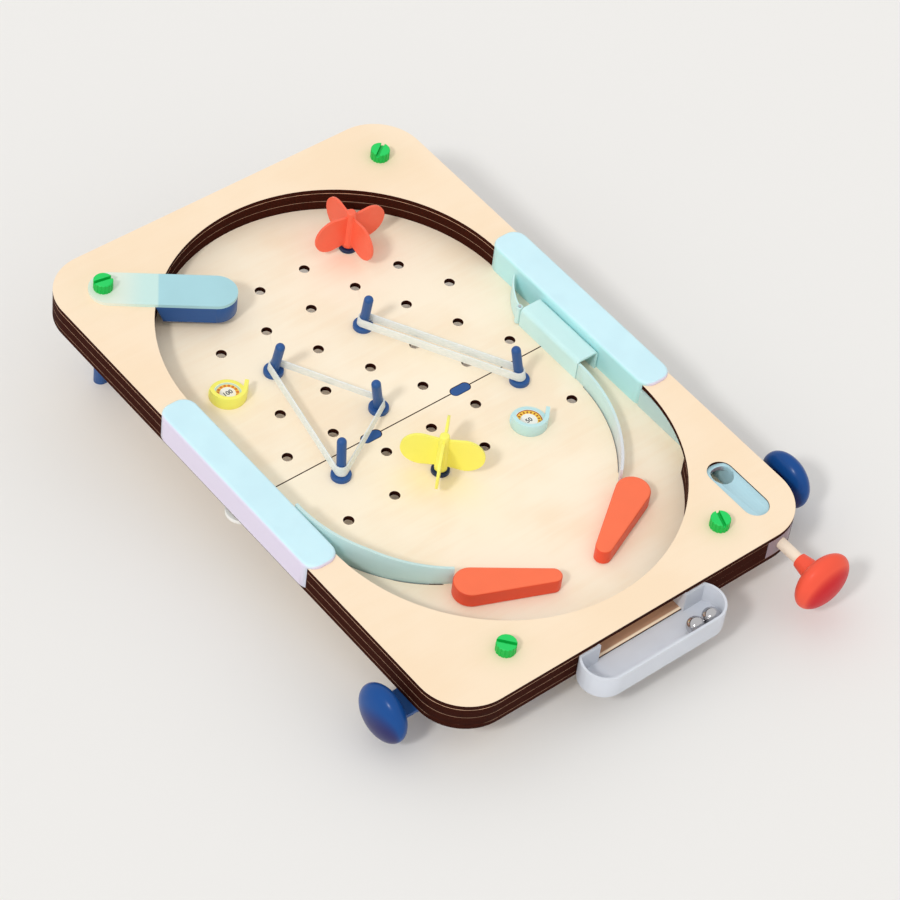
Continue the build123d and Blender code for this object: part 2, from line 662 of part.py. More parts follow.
def gate_pin():
    """The upright pin of the lane gate."""
    return upright(GATE_PIVOT[0], GATE_PIVOT[1], GATE_PIN_DIAMETER / 2, BELOW, GATE_HEIGHT + GATE_LIFT)


def lane_gate():
    """One-way flap from the tunnel's corner to the clip wall."""
    middle = bulged(GATE_PIVOT, GATE_TIP, GATE_BULGE)
    centre, radius, last, first = circle_through(GATE_PIVOT, middle, GATE_TIP)
    flap = arc_wall(centre, radius, GATE_THICKNESS, first, last, GATE_LIFT, GATE_HEIGHT)
    barrel = upright(GATE_PIVOT[0], GATE_PIVOT[1], GATE_BARREL_DIAMETER / 2, GATE_LIFT, GATE_HEIGHT)
    bore = GATE_PIN_DIAMETER / 2 + RUNNING_CLEARANCE
    return flap + barrel - upright(GATE_PIVOT[0], GATE_PIVOT[1], bore, 0, GATE_HEIGHT + 1)


def trough():
    """Round-bottomed cutter that deepens toward the loading hole."""
    y0 = SLOT_FRONT_Y
    y1 = LOADING_HOLE_Y
    slope = math.atan2(TROUGH_DEPTH_REAR - TROUGH_DEPTH_FRONT, y1 - y0)
    z = INSERT_TOP + TROUGH_RADIUS - (TROUGH_DEPTH_FRONT + TROUGH_DEPTH_REAR) / 2
    cutter = Cylinder(TROUGH_RADIUS, 2 * SLOT_WIDTH + y1 - y0)
    return Pos(LAUNCH_X, (y0 + y1) / 2, z) * Rot(90 - math.degrees(slope), 0, 0) * cutter


def launcher_housing():
    """Block in the frame with the loading ramp, ball room and spring room."""
    reach = HOUSING_WIDTH / 2
    body = block(
        LAUNCH_X - reach, LAUNCH_X + reach, FRONT_Y - 1, HOUSING_REAR_Y, CHAMBER_FLOOR_GAP, COVER_BOTTOM
    )
    body &= slab(0, COVER_BOTTOM)
    radius = SLOT_WIDTH / 2 - SLOT_CLEARANCE
    body += pill((LAUNCH_X, SLOT_FRONT_Y), (LAUNCH_X, SLOT_REAR_Y), radius, COVER_BOTTOM, INSERT_TOP)
    body -= trough()
    hole = LOADING_HOLE_DIAMETER / 2
    body -= upright(LAUNCH_X, LOADING_HOLE_Y, hole, -1, COVER_TOP + 1)
    body -= block(LAUNCH_X - hole, LAUNCH_X + hole, TIP_WALL_REAR_Y, HOUSING_REAR_Y + 1, -1, BALL_ROOM)
    body -= along_y(LAUNCH_X, ROD_Z, SPRING_ROOM_DIAMETER / 2, SPRING_ROOM_FRONT_Y, TIP_WALL_FRONT_Y)
    bore = ROD_DIAMETER / 2 + RUNNING_CLEARANCE
    return body - along_y(LAUNCH_X, ROD_Z, bore, FRONT_Y - 1, TIP_WALL_REAR_Y + 1)


def plunger_rod():
    """Rod with the piston that the spring pushes on."""
    tip = TIP_WALL_REAR_Y + TIP_REACH
    end = PLUNGER_KNOB_Y - KNOB_BACK + KNOB_SOCKET_DEPTH
    rod = along_y(LAUNCH_X, ROD_Z, ROD_DIAMETER / 2, end, tip)
    rod = chamfer(rod.edges().group_by(Axis.Y)[-1], ROD_DIAMETER / 8)
    piston = along_y(LAUNCH_X, ROD_Z, PISTON_DIAMETER / 2, PISTON_FRONT_Y, TIP_WALL_FRONT_Y)
    return rod + piston


def knob_solid(radius, collar_length, collar_radii):
    """A lens-shaped knob along +X, middle plane at the origin, with a collar behind it."""
    profile = Ellipse(KNOB_HALF_THICKNESS, radius)
    profile &= Pos(radius - KNOB_BACK, radius / 2) * Rectangle(2 * radius, radius)
    knob = revolve(profile, Axis.X)
    if collar_length:
        cone = Cone(collar_radii[0], collar_radii[1], collar_length)
        knob += Pos(-KNOB_BACK - collar_length / 2, 0, 0) * Rot(0, 90, 0) * cone
    return knob


def plunger_knob():
    """Knob and collar at the front end of the rod."""
    length = PLUNGER_COLLAR_Y - PLUNGER_KNOB_Y - KNOB_BACK
    knob = knob_solid(PLUNGER_KNOB_DIAMETER / 2, length, [d / 2 for d in PLUNGER_COLLAR_DIAMETERS])
    knob = Pos(LAUNCH_X, PLUNGER_KNOB_Y, ROD_Z) * Rot(0, 0, -90) * knob
    end = PLUNGER_KNOB_Y - KNOB_BACK + KNOB_SOCKET_DEPTH
    bore = ROD_DIAMETER / 2 + KNOB_SEAT_CLEARANCE
    return knob - along_y(LAUNCH_X, ROD_Z, bore, end, PLUNGER_COLLAR_Y + 1)


def coil(radius, wire, turns, length):
    """A compression spring along +Z from the origin."""
    lift = length - wire
    path = Helix(lift / turns, lift, radius)
    section = Plane(path @ 0, z_dir=path % 0) * Circle(wire / 2)
    gap = lift / turns - wire
    print("least gap between turns", round(gap, 3))
    return Pos(0, 0, wire / 2) * sweep(section, path)


def plunger_spring():
    """Spring between the piston and the front wall of its room."""
    rear = PISTON_FRONT_Y - SPRING_SEAT_GAP
    length = rear - SPRING_ROOM_FRONT_Y - SPRING_SEAT_GAP
    spring = coil(PLUNGER_SPRING_RADIUS, PLUNGER_SPRING_WIRE, PLUNGER_SPRING_TURNS, length)
    return Pos(LAUNCH_X, rear, ROD_Z) * Rot(90, 0, 0) * spring


def ball_tray():
    """Open tray hung on the front edge, with two ears in the drain slot."""
    run = TRAY_STRAIGHT / 2
    low = -TRAY_DROP - TRAY_FLOOR
    tray = pill((-run, TRAY_Y), (run, TRAY_Y), TRAY_RADIUS, low, COVER_BOTTOM)
    tray = fillet(tray.edges().group_by(Axis.Z)[0], TRAY_EDGE)
    tray &= block(-BOARD_WIDTH, BOARD_WIDTH, -BOARD_LENGTH, FRONT_Y - TRAY_BACK_GAP, low, COVER_BOTTOM)
    room = pill((-run, TRAY_Y), (run, TRAY_Y), TRAY_RADIUS - TRAY_WALL, -TRAY_DROP, COVER_BOTTOM + 1)
    back = FRONT_Y - TRAY_BACK_GAP - TRAY_WALL
    room &= block(-BOARD_WIDTH, BOARD_WIDTH, -BOARD_LENGTH, back, -TRAY_DROP, COVER_BOTTOM + 1)
    outer = DRAIN_HALF_WIDTH - SEAM_GAP
    inner = outer - TRAY_EAR
    tray = tray - room - block(-inner, inner, back - 1, FRONT_Y, -TRAY_DROP, COVER_BOTTOM + 1)
    for side in (-1, 1):
        x0, x1 = sorted((side * inner, side * outer))
        tray += block(x0, x1, FRONT_Y - TRAY_BACK_GAP, FRONT_Y + TRAY_EAR_REACH, 0, COVER_BOTTOM)
    return tray


def balls():
    """The two steel balls in the tray."""
    z = -TRAY_DROP + BALL_DIAMETER / 2 + BALL_REST_GAP
    return [Pos(x, FRONT_Y - BALL_OUT, z) * Sphere(BALL_DIAMETER / 2) for x in BALL_X]


def peg(site):
    """One peg, its shaft leaning as its band pulls it."""
    x, y = peg_point(site)
    lean_x = site[2]
    lean_y = site[3]
    radius = PEG_DIAMETER / 2
    base = upright(x, y, PEG_BASE_DIAMETER / 2, 0, PEG_BASE_HEIGHT)
    base = fillet(base.edges().group_by(Axis.Z)[-1], PEG_BASE_EDGE)
    start = Vector(x, y, PEG_BASE_HEIGHT / 2)
    way = Vector(lean_x, lean_y, PEG_HEIGHT - radius - PEG_BASE_HEIGHT / 2)
    shaft = extrude(Plane(start, z_dir=way) * Circle(radius), way.length)
    tip = Pos(start + way) * Sphere(radius)
    plug = upright(x, y, PLUG_DIAMETER / 2, BELOW, 0)
    return base + shaft + tip + plug


def pegs():
    """All pegs as separate solids of one node."""
    return [peg(site) for site in PEGS_LEFT_BAND + PEGS_RIGHT_BAND]


def rubber_band(sites):
    """A stretched loop round the shafts of its pegs."""
    middle = BAND_BOTTOM + BAND_HEIGHT / 2
    inner = []
    outer = []
    radius = PEG_DIAMETER / 2 + BAND_CLEARANCE
    root = PEG_BASE_HEIGHT / 2
    share = (middle - root) / (PEG_HEIGHT - PEG_DIAMETER / 2 - root)
    for site in sites:
        x, y = peg_point(site)
        inner.append((x + site[2] * share, y + site[3] * share, radius))
        outer.append((x + site[2] * share, y + site[3] * share, radius + BAND_THICKNESS))
    top = BAND_BOTTOM + BAND_HEIGHT
    return hull_prism(outer, BAND_BOTTOM, top) - hull_prism(inner, BAND_BOTTOM - 1, top + 1)


def spinner_posts():
    """Base rings and pins of the two spinners."""
    posts = Part()
    for site in (RED_SPINNER, YELLOW_SPINNER):
        x, y = peg_point(site)
        ring = upright(x, y, SPINNER_BASE_DIAMETER / 2, 0, SPINNER_BASE_HEIGHT)
        ring = fillet(ring.edges().group_by(Axis.Z)[-1], SPINNER_BASE_EDGE)
        pin = upright(x, y, SPINNER_POST_DIAMETER / 2, SPINNER_BASE_HEIGHT, SPINNER_POST_TOP)
        posts += ring + pin + upright(x, y, PLUG_DIAMETER / 2, BELOW, 0)
    return posts


def spinner(site, turn_deg):
    """Hub with four rounded vanes, turning on its pin."""
    x, y = peg_point(site)
    height = SPINNER_HEIGHT - SPINNER_LIFT
    hub = Pos(0, 0, SPINNER_LIFT + height / 2) * Cone(HUB_BOTTOM_DIAMETER / 2, HUB_TOP_DIAMETER / 2, height)
    hub = fillet(hub.edges().group_by(Axis.Z)[-1], HUB_EDGE)
    low = VANE_MIDDLE_Z - VANE_RADIUS
    high = VANE_MIDDLE_Z + VANE_RADIUS
    inner_low = (0, low + VANE_ROOT_DROP)
    inner_high = (0, high - VANE_ROOT_DROP)
    root = Polygon(inner_low, (VANE_CENTRE, low), (VANE_CENTRE, high), inner_high, align=None)
    outline = root + Pos(VANE_CENTRE, VANE_MIDDLE_Z) * Circle(VANE_RADIUS)
    outline -= Pos(-VANE_RADIUS, VANE_MIDDLE_Z) * Rectangle(2 * VANE_RADIUS, 4 * VANE_RADIUS)
    vane = extrude(Plane.XZ * outline, VANE_THICKNESS / 2, both=True)
    for i in range(SPINNER_VANES):
        hub += Rot(0, 0, 360 * i / SPINNER_VANES) * vane
    bore = SPINNER_POST_DIAMETER / 2 + RUNNING_CLEARANCE
    hub -= upright(0, 0, bore, 0, SPINNER_POST_TOP + SPINNER_POST_GAP)
    return Pos(x, y, 0) * Rot(0, 0, turn_deg) * hub


def cup(site):
    """A score cup: floor disc, hooked wall and plug."""
    x, y = peg_point(site)
    radius = CUP_DIAMETER / 2
    middle = radius - CUP_WALL / 2
    body = upright(0, 0, radius, 0, CUP_FLOOR)
    body += arc_wall((0, 0), middle, CUP_WALL, CUP_WALL_START_DEG, CUP_WALL_END_DEG, 0, CUP_HEIGHT)
    tail = block(radius - CUP_WALL, radius, 0, CUP_TAIL, 0, CUP_HEIGHT)
    body += Rot(0, 0, CUP_WALL_END_DEG) * tail
    body += upright(0, 0, PLUG_DIAMETER / 2, BELOW, 0)
    return Pos(x, y, 0) * body


def label(site):
    """The printed disc on a cup's floor."""
    x, y = peg_point(site)
    radius = CUP_DIAMETER / 2 - CUP_WALL - LABEL_GAP
    return upright(x, y, radius, CUP_FLOOR, CUP_FLOOR + LABEL_THICKNESS)


def flipper(side):
    """Teardrop arm with the axle that passes through the playfield."""
    x, y = FLIPPER_PIVOT
    circles = [(x, y, FLIPPER_BIG_RADIUS), (FLIPPER_TIP[0], FLIPPER_TIP[1], FLIPPER_SMALL_RADIUS)]
    arm = hull_prism(circles, FLIPPER_BOTTOM, FLIPPER_TOP)
    arm = fillet(arm.edges().group_by(Axis.Z)[-1], FLIPPER_EDGE)
    arm += upright(x, y, AXLE_DIAMETER / 2, CRANK_TOP, FLIPPER_BOTTOM)
    arm += upright(x, y, AXLE_END_DIAMETER / 2, CRANK_BOTTOM, CRANK_TOP)
    return arm if side > 0 else mirror(arm, Plane.YZ)


def flipper_crank(side):
    """Crank on the axle's lower end, with the pin that the push bar moves."""
    x, y = FLIPPER_PIVOT
    circles = [(x, y, CRANK_HUB_DIAMETER / 2), (PIN_REST_X, PIN_REST_Y, CRANK_ARM_WIDTH / 2)]
    crank = hull_prism(circles, CRANK_BOTTOM, CRANK_TOP)
    low = CRANK_BOTTOM - CRANK_PIN_LENGTH
    crank += upright(PIN_REST_X, PIN_REST_Y, CRANK_PIN_DIAMETER / 2, low, CRANK_BOTTOM)
    bore = AXLE_END_DIAMETER / 2 + KNOB_SEAT_CLEARANCE
    crank -= upright(x, y, bore, CRANK_BOTTOM - 1, CRANK_TOP + 1)
    return crank if side > 0 else mirror(crank, Plane.YZ)


def push_bar(side):
    """Half-round bar under the playfield with the yoke for the crank pin."""
    knob_face = KNOB_X - KNOB_BACK
    bar = along_x(BAR_Y, BAR_Z, BAR_RADIUS, BAR_INNER_X, knob_face)
    reach = 2 * BAR_RADIUS
    bar -= block(BAR_INNER_X - 1, knob_face + 1, BAR_Y - reach, BAR_Y + reach, BAR_TOP, BAR_TOP + reach)
    top = CRANK_BOTTOM - YOKE_GAP
    bottom = top - YOKE_THICKNESS
    slot = CRANK_PIN_DIAMETER / 2 + PIN_CLEARANCE
    yoke_end = PIN_REST_Y + slot + BRACKET_WALL
    yoke = block(PIN_REST_X - YOKE_HALF_LENGTH, PIN_REST_X + YOKE_HALF_LENGTH, BAR_Y, yoke_end, bottom, top)
    bar += yoke
    far = FLIPPER_PIVOT[1] - CRANK_RADIUS - PIN_CLEARANCE
    bar -= pill((PIN_REST_X, far), (PIN_REST_X, PIN_REST_Y), slot, bottom - 1, top + 1)
    bar += along_x(BAR_Y, BAR_SPRING_Z, SPIGOT_DIAMETER / 2, BAR_INNER_X - SPIGOT_LENGTH, BAR_INNER_X)
    bar += along_x(BAR_Y, BAR_SPRING_Z, SPIGOT_DIAMETER / 2, knob_face, knob_face + KNOB_SOCKET_DEPTH)
    return bar if side > 0 else mirror(bar, Plane.YZ)


def side_knob(side):
    """Knob on the outer end of a push bar."""
    knob = Pos(KNOB_X, BAR_Y, BAR_Z) * knob_solid(KNOB_RADIUS, 0, None)
    face = KNOB_X - KNOB_BACK
    bore = SPIGOT_DIAMETER / 2 + KNOB_SEAT_CLEARANCE
    knob -= along_x(BAR_Y, BAR_SPRING_Z, bore, face - 1, face + KNOB_SOCKET_DEPTH + KNOB_SEAT_CLEARANCE)
    return knob if side > 0 else mirror(knob, Plane.YZ)


def bar_brackets():
    """Saddles that carry the push bars under the playfield."""
    brackets = Part()
    inner = BAR_RADIUS + BAR_CLEARANCE
    outer = inner + BRACKET_WALL
    for side in (-1, 1):
        for x in BRACKET_X:
            x0 = side * x - BRACKET_WIDTH / 2
            x1 = side * x + BRACKET_WIDTH / 2
            saddle = block(x0, x1, BAR_Y - outer, BAR_Y + outer, BAR_Z - outer, BELOW)
            saddle -= along_x(BAR_Y, BAR_Z, inner, x0 - 1, x1 + 1)
            brackets += saddle - block(x0 - 1, x1 + 1, BAR_Y - inner, BAR_Y + inner, BAR_Z, BELOW + 1)
    return brackets


def spring_anchor():
    """Plate with an ear at each end that the bar springs push against."""
    y0 = BAR_Y - ANCHOR_WIDTH / 2
    y1 = BAR_Y + ANCHOR_WIDTH / 2
    anchor = block(-ANCHOR_HALF_LENGTH, ANCHOR_HALF_LENGTH, y0, y1, BELOW - ANCHOR_PLATE, BELOW)
    for side in (-1, 1):
        x0, x1 = sorted((side * (ANCHOR_HALF_LENGTH - ANCHOR_EAR), side * ANCHOR_HALF_LENGTH))
        anchor += block(x0, x1, y0, y1, BELOW - ANCHOR_DROP, BELOW)
        x0, x1 = sorted((side * ANCHOR_HALF_LENGTH, side * (ANCHOR_HALF_LENGTH + SPIGOT_LENGTH)))
        anchor += along_x(BAR_Y, BAR_SPRING_Z, SPIGOT_DIAMETER / 2, x0, x1)
    return anchor


def bar_spring(side):
    """Return spring between the anchor and a push bar."""
    x0 = ANCHOR_HALF_LENGTH + SPRING_SEAT_GAP
    length = BAR_INNER_X - SPRING_SEAT_GAP - x0
    spring = coil(BAR_SPRING_RADIUS, BAR_SPRING_WIRE, BAR_SPRING_TURNS, length)
    spring = Pos(x0, BAR_Y, BAR_SPRING_Z) * Rot(0, 90, 0) * spring
    return spring if side > 0 else mirror(spring, Plane.YZ)


def stand_height():
    """Height of the board frame's origin above the table."""
    return -(floor_z(FRONT_SCREW_Y) * math.cos(TILT) + FRONT_SCREW_Y * math.sin(TILT))


def centre_shift():
    """Shift along Y that centres the tilted outline."""
    rear = BOARD_LENGTH / 2 * math.cos(TILT) - BELOW * math.sin(TILT)
    reach = math.hypot(KNOB_HALF_THICKNESS * math.cos(TILT), PLUNGER_KNOB_DIAMETER / 2 * math.sin(TILT))
    front = PLUNGER_KNOB_Y * math.cos(TILT) - ROD_Z * math.sin(TILT) - reach
    return -(rear + front) / 2


def place(piece):
    """Tilt a piece with the board and stand the game on z = 0."""
    return Pos(0, centre_shift(), stand_height()) * Rot(TILT_DEG, 0, 0) * piece


def gather(solids):
    """Group separate solids of one node."""
    return Compound(children=list(solids))


def pieces():
    """Every node's name and shape in the board frame."""
    cover = top_cover()
    base = playfield()
    found = {
        "playfield_rear": half(base, True),
        "playfield_front": half(base, False),
        "top_cover_rear": half(cover, True),
        "top_cover_front": half(cover, False),
        "seam_keys": seam_keys(),
        "seam_nuts": seam_nuts(),
        "corner_screws": corner_screws(),
        "rear_legs": leg_pair(REAR_SCREW_X, REAR_SCREW_Y),
        "front_feet": leg_pair(FRONT_SCREW_X, FRONT_SCREW_Y),
        "deflector_arm": deflector_arm(),
        "deflector_block": deflector_block(),
        "left_guide": left_guide(),
        "right_guide": right_guide(),
        "lane_tunnel": lane_tunnel(),
        "lane_liner": lane_liner(),
        "gate_pin": gate_pin(),
        "lane_gate": lane_gate(),
        "launcher_housing": launcher_housing(),
        "plunger_rod": plunger_rod(),
        "plunger_knob": plunger_knob(),
        "plunger_spring": plunger_spring(),
        "ball_tray": ball_tray(),
        "balls": gather(balls()),
        "pegs": gather(pegs()),
        "rubber_band_left": rubber_band(PEGS_LEFT_BAND),
        "rubber_band_right": rubber_band(PEGS_RIGHT_BAND),
        "spinner_posts": spinner_posts(),
        "red_spinner": spinner(RED_SPINNER, RED_SPINNER_DEG),
        "yellow_spinner": spinner(YELLOW_SPINNER, YELLOW_SPINNER_DEG),
        "yellow_cup": cup(YELLOW_CUP),
        "blue_cup": cup(BLUE_CUP),
        "yellow_cup_label": label(YELLOW_CUP),
        "blue_cup_label": label(BLUE_CUP),
        "bar_brackets": bar_brackets(),
        "spring_anchor": spring_anchor(),
    }
    for level, z0 in (("lower", 0), ("upper", SPACER_THICKNESS)):
        layer = spacer(z0)
        found[level + "_spacer_rear"] = half(layer, True)
        front = half(layer, False)
        reach = BOARD_LENGTH
        for name, x0, x1 in (("left", -reach, 0), ("middle", 0, LAUNCH_X), ("right", LAUNCH_X, reach)):
            found[level + "_spacer_" + name] = front & block(x0, x1, -reach, 0, -reach, reach)
    for name, side in (("left", -1), ("right", 1)):
        found["side_clip_" + name] = side_clip(side)
        found["flipper_" + name] = flipper(side)
        found["flipper_crank_" + name] = flipper_crank(side)
        found["push_bar_" + name] = push_bar(side)
        found["side_knob_" + name] = side_knob(side)
        found["bar_spring_" + name] = bar_spring(side)
    return found


os.makedirs("parts", exist_ok=True)
for name, shape in pieces().items():
    export_step(place(shape), "parts/" + name + ".step")
print("board origin above the table", round(stand_height(), 4), "shift along Y", round(centre_shift(), 4))
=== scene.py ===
import json
import math

import bmesh
import bpy
from mathutils import Matrix, Vector


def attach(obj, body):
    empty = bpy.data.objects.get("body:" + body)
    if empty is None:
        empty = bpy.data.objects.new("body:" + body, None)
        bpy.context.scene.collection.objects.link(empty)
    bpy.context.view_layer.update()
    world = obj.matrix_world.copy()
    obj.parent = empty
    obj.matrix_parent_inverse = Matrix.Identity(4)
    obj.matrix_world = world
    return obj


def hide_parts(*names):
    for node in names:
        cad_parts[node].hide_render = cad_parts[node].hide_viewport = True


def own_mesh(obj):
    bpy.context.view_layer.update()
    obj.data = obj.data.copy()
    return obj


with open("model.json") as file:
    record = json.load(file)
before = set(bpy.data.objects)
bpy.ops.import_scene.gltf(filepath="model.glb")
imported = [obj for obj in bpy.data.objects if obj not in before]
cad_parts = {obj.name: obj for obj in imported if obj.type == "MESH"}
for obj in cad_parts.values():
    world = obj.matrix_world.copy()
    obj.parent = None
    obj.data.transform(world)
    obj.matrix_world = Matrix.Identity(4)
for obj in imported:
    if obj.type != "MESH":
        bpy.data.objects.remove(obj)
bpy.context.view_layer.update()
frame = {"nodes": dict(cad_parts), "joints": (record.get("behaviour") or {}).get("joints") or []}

# Board frame: millimetres, X to the player's right, Y to the back, z = 0 on the playfield's top,
# origin on the seam. BOARD turns it into the frame of the model, which is in metres.
MM = 0.001
FLIPPER_PIVOT = (54.0, -111.3)
PLAYFIELD_THICKNESS = 3.0
SPACER_THICKNESS = 6.0
COVER_BOTTOM = 12.0
COVER_TOP = 15.0
BOARD_HALF_WIDTH = 120.0
BOARD_HALF_LENGTH = 180.0
HOLE_PITCH = 30.0
ROW_PITCH = HOLE_PITCH * math.sqrt(3) / 2
JOINTS = {joint["name"]: joint for joint in frame["joints"]}
NORMAL = Vector(JOINTS["left_flipper_swing"]["axis"])
TILT = math.atan2(-NORMAL.y, NORMAL.z)
TURN = Matrix.Rotation(TILT, 4, "X")
PIVOTS = [Vector(JOINTS[side + "_flipper_swing"]["pos_m"]) for side in ("left", "right")]
ORIGIN = (PIVOTS[0] + PIVOTS[1]) / 2 - TURN @ Vector((0, FLIPPER_PIVOT[1] * MM, 0))
BOARD = Matrix.Translation(ORIGIN) @ TURN @ Matrix.Scale(MM, 4)

# Camera, from the grid of peg holes in the photograph
CAMERA_PLACE = (-841.9, -875.4, 1317.6)
CAMERA_RIGHT = (0.77519552, -0.62471941, 0.0937954)
CAMERA_UP = (0.41876785, 0.61934613, 0.66411133)
CAMERA_BACK = (-0.47297505, -0.47553763, 0.74172675)
CAMERA_LENS = 136.4
CAMERA_SENSOR = 36.0
CAMERA_NEAREST = 0.05
CAMERA_FARTHEST = 50.0

# Light
SUN_DIRECTION = (0.96, 0.25, -1.0)
SUN_STRENGTH = 0.98
SUN_ANGLE_DEG = 8.0
SKY_STRENGTH = 0.82
FLOOR_COLOUR = (0.84, 0.825, 0.80)
BACKDROP_COLOUR = (0.93, 0.925, 0.915)
FLOOR_REACH = 6.0

# Rubber bands: pegs as (column, row, lean x, lean y), as in the construction
PEGS_LEFT_BAND = ((-1.5, 2.5, -0.7, -4.7), (-0.5, 0.5, -5.0, -1.5), (-2, -0.5, 0.6, 2.7))
PEGS_RIGHT_BAND = ((0.5, 2.5, -0.7, -3.1), (2, -0.5, -3.5, 2.3))
PEG_ROOT_Z = 1.3
PEG_TIP_Z = 23.4
BAND_MIDDLE_Z = 6.0
BAND_INNER_RADIUS = 2.75
BAND_THICKNESS = 0.9
BAND_HEIGHT = 6.1
BAND_CORNER_STEPS = 12
BAND_EDGE_STEPS = 6

# Springs: where each stands, and its shape
SIDE_SPRING_INNER_X = 20.3
SIDE_SPRING_LENGTH = 19.4
SIDE_SPRING_PLACE = (-143.9, -7.7)
SIDE_SPRING_RADIUS = 3.0
SIDE_SPRING_WIRE = 0.7
SIDE_SPRING_TURNS = 8
PLUNGER_SPRING_FRONT_Y = -171.6
PLUNGER_SPRING_LENGTH = 25.8
PLUNGER_SPRING_PLACE = (96.1, 6.0)
PLUNGER_SPRING_RADIUS = 3.75
PLUNGER_SPRING_WIRE = 0.8
PLUNGER_SPRING_TURNS = 7
STEPS_PER_TURN = 20
WIRE_SIDES = 8

# Printed discs of the cups: rings as (inner radius, outer radius), and marks as
# (how many, radius they stand at, length along the radius, width)
YELLOW_CUP = (-2.5, 2.5)
YELLOW_RING = (6.3, 7.3)
YELLOW_BAND = (4.3, 6.2)
YELLOW_MARKS = (15, 5.25, 1.7, 1.7)
BLUE_CUP = (1.5, -1.5)
BLUE_RING = (6.7, 7.3)
BLUE_BAND = (4.6, 6.7)
BLUE_MARKS = (18, 5.6, 1.5, 1.0)
LABEL_TOP = 1.9
PRINT_THICKNESS = 0.03
NUMBER_HEIGHT = 3.8
NUMBER_THICKENING = 0.08
RING_STEPS = 72
MARK_STEPS = 16

# Softened edges of the solids
WELD_MM = 0.002
EDGE_ANGLE_DEG = 40.0
RIM_MM = 0.16


def linear(red, green, blue):
    """A display colour of 0 to 255 as a linear one."""
    found = []
    for value in (red, green, blue):
        share = value / 255
        found.append(share / 12.92 if share <= 0.04045 else ((share + 0.055) / 1.055) ** 2.4)
    return tuple(found)


class Graph:
    """The node tree of one material, with short ways to add and join nodes."""

    def __init__(self, name):
        self.material = bpy.data.materials.new(name)
        self.material.use_nodes = True
        self.tree = self.material.node_tree
        self.shader = self.tree.nodes["Principled BSDF"]

    def add(self, kind, inputs=(), **settings):
        """A node with its settings and inputs, each input a number, a colour or another socket."""
        node = self.tree.nodes.new(kind)
        for key, value in settings.items():
            setattr(node, key, value)
        for key, value in dict(inputs).items():
            self.put(node, key, value)
        return node

    def put(self, node, key, value):
        """Set or join one input."""
        if isinstance(value, bpy.types.NodeSocket):
            self.tree.links.new(value, node.inputs[key])
        elif isinstance(value, tuple) and len(value) == 3 and node.inputs[key].type == "RGBA":
            node.inputs[key].default_value = (*value, 1)
        else:
            node.inputs[key].default_value = value

    def math(self, operation, first, second=0.0, clamp=False):
        """One arithmetic step."""
        inputs = {0: first, 1: second}
        return self.add("ShaderNodeMath", inputs, operation=operation, use_clamp=clamp).outputs[0]

    def ramp(self, value, low, high, start=0.0, end=1.0):
        """A smooth step from start to end as value goes from low to high."""
        inputs = {"Value": value, "From Min": low, "From Max": high, "To Min": start, "To Max": end}
        node = self.add("ShaderNodeMapRange", inputs, interpolation_type="SMOOTHSTEP")
        return node.outputs["Result"]

    def mix(self, factor, first, second):
        """Two colours mixed."""
        node = self.add("ShaderNodeMix", data_type="RGBA")
        self.put(node, 0, factor)
        self.put(node, 6, first)
        self.put(node, 7, second)
        return node.outputs[2]

    def board(self):
        """Coordinates in the board frame, in millimetres."""
        source = self.add("ShaderNodeTexCoord").outputs["Object"]
        node = self.add("ShaderNodeMapping", {"Vector": source}, vector_type="TEXTURE")
        node.inputs["Location"].default_value = ORIGIN
        node.inputs["Rotation"].default_value = (TILT, 0, 0)
        node.inputs["Scale"].default_value = (MM, MM, MM)
        return node.outputs[0]

    def flat(self):
        """Coordinates in the board frame with no height."""
        return self.stretched(self.board(), (1, 1, 0))

    def lies(self, way, low, high):
        """A mask that grows from 0 to 1 along a direction of the board, from low to high."""
        inputs = {0: self.board(), 1: tuple(Vector(way).normalized())}
        node = self.add("ShaderNodeVectorMath", inputs, operation="DOT_PRODUCT")
        return self.ramp(node.outputs["Value"], low, high)

    def faces(self, way, low, high):
        """A mask that grows from 0 to 1 as the surface turns towards a direction of the board."""
        source = self.add("ShaderNodeTexCoord").outputs["Normal"]
        turned = tuple(TURN.to_3x3() @ Vector(way).normalized())
        node = self.add("ShaderNodeVectorMath", {0: source, 1: turned}, operation="DOT_PRODUCT")
        return self.ramp(node.outputs["Value"], low, high)

    def near(self, value, place, reach):
        """A mask that is 1 where value is within reach of place."""
        away = self.math("ABSOLUTE", self.math("SUBTRACT", value, place))
        return self.ramp(away, reach + LINE_SOFTNESS, reach)

    def all_of(self, share, *others):
        """A mask that is 1 where all the given ones are."""
        for other in others:
            share = self.math("MULTIPLY", share, other)
        return share

    def stretched(self, vector, scale):
        """Coordinates scaled along each axis."""
        return self.add("ShaderNodeMapping", {"Vector": vector, "Scale": scale}).outputs[0]

    def noise(self, vector, scale, detail=2.0, roughness=0.5, distortion=0.0):
        """A noise value about 0.5."""
        inputs = {
            "Vector": vector,
            "Scale": scale,
            "Detail": detail,
            "Roughness": roughness,
            "Distortion": distortion,
        }
        return self.add("ShaderNodeTexNoise", inputs).outputs["Fac"]

    def bump(self, height, strength, distance_mm, normal=None):
        """A normal from a height."""
        inputs = {"Height": height, "Strength": strength, "Distance": distance_mm * MM}
        if normal is not None:
            inputs["Normal"] = normal
        return self.add("ShaderNodeBump", inputs).outputs[0]

    def finish(self, **inputs):
        """Set the main shader's inputs and give the material."""
        for key, value in inputs.items():
            self.put(self.shader, key.replace("_", " "), value)
        return self.material


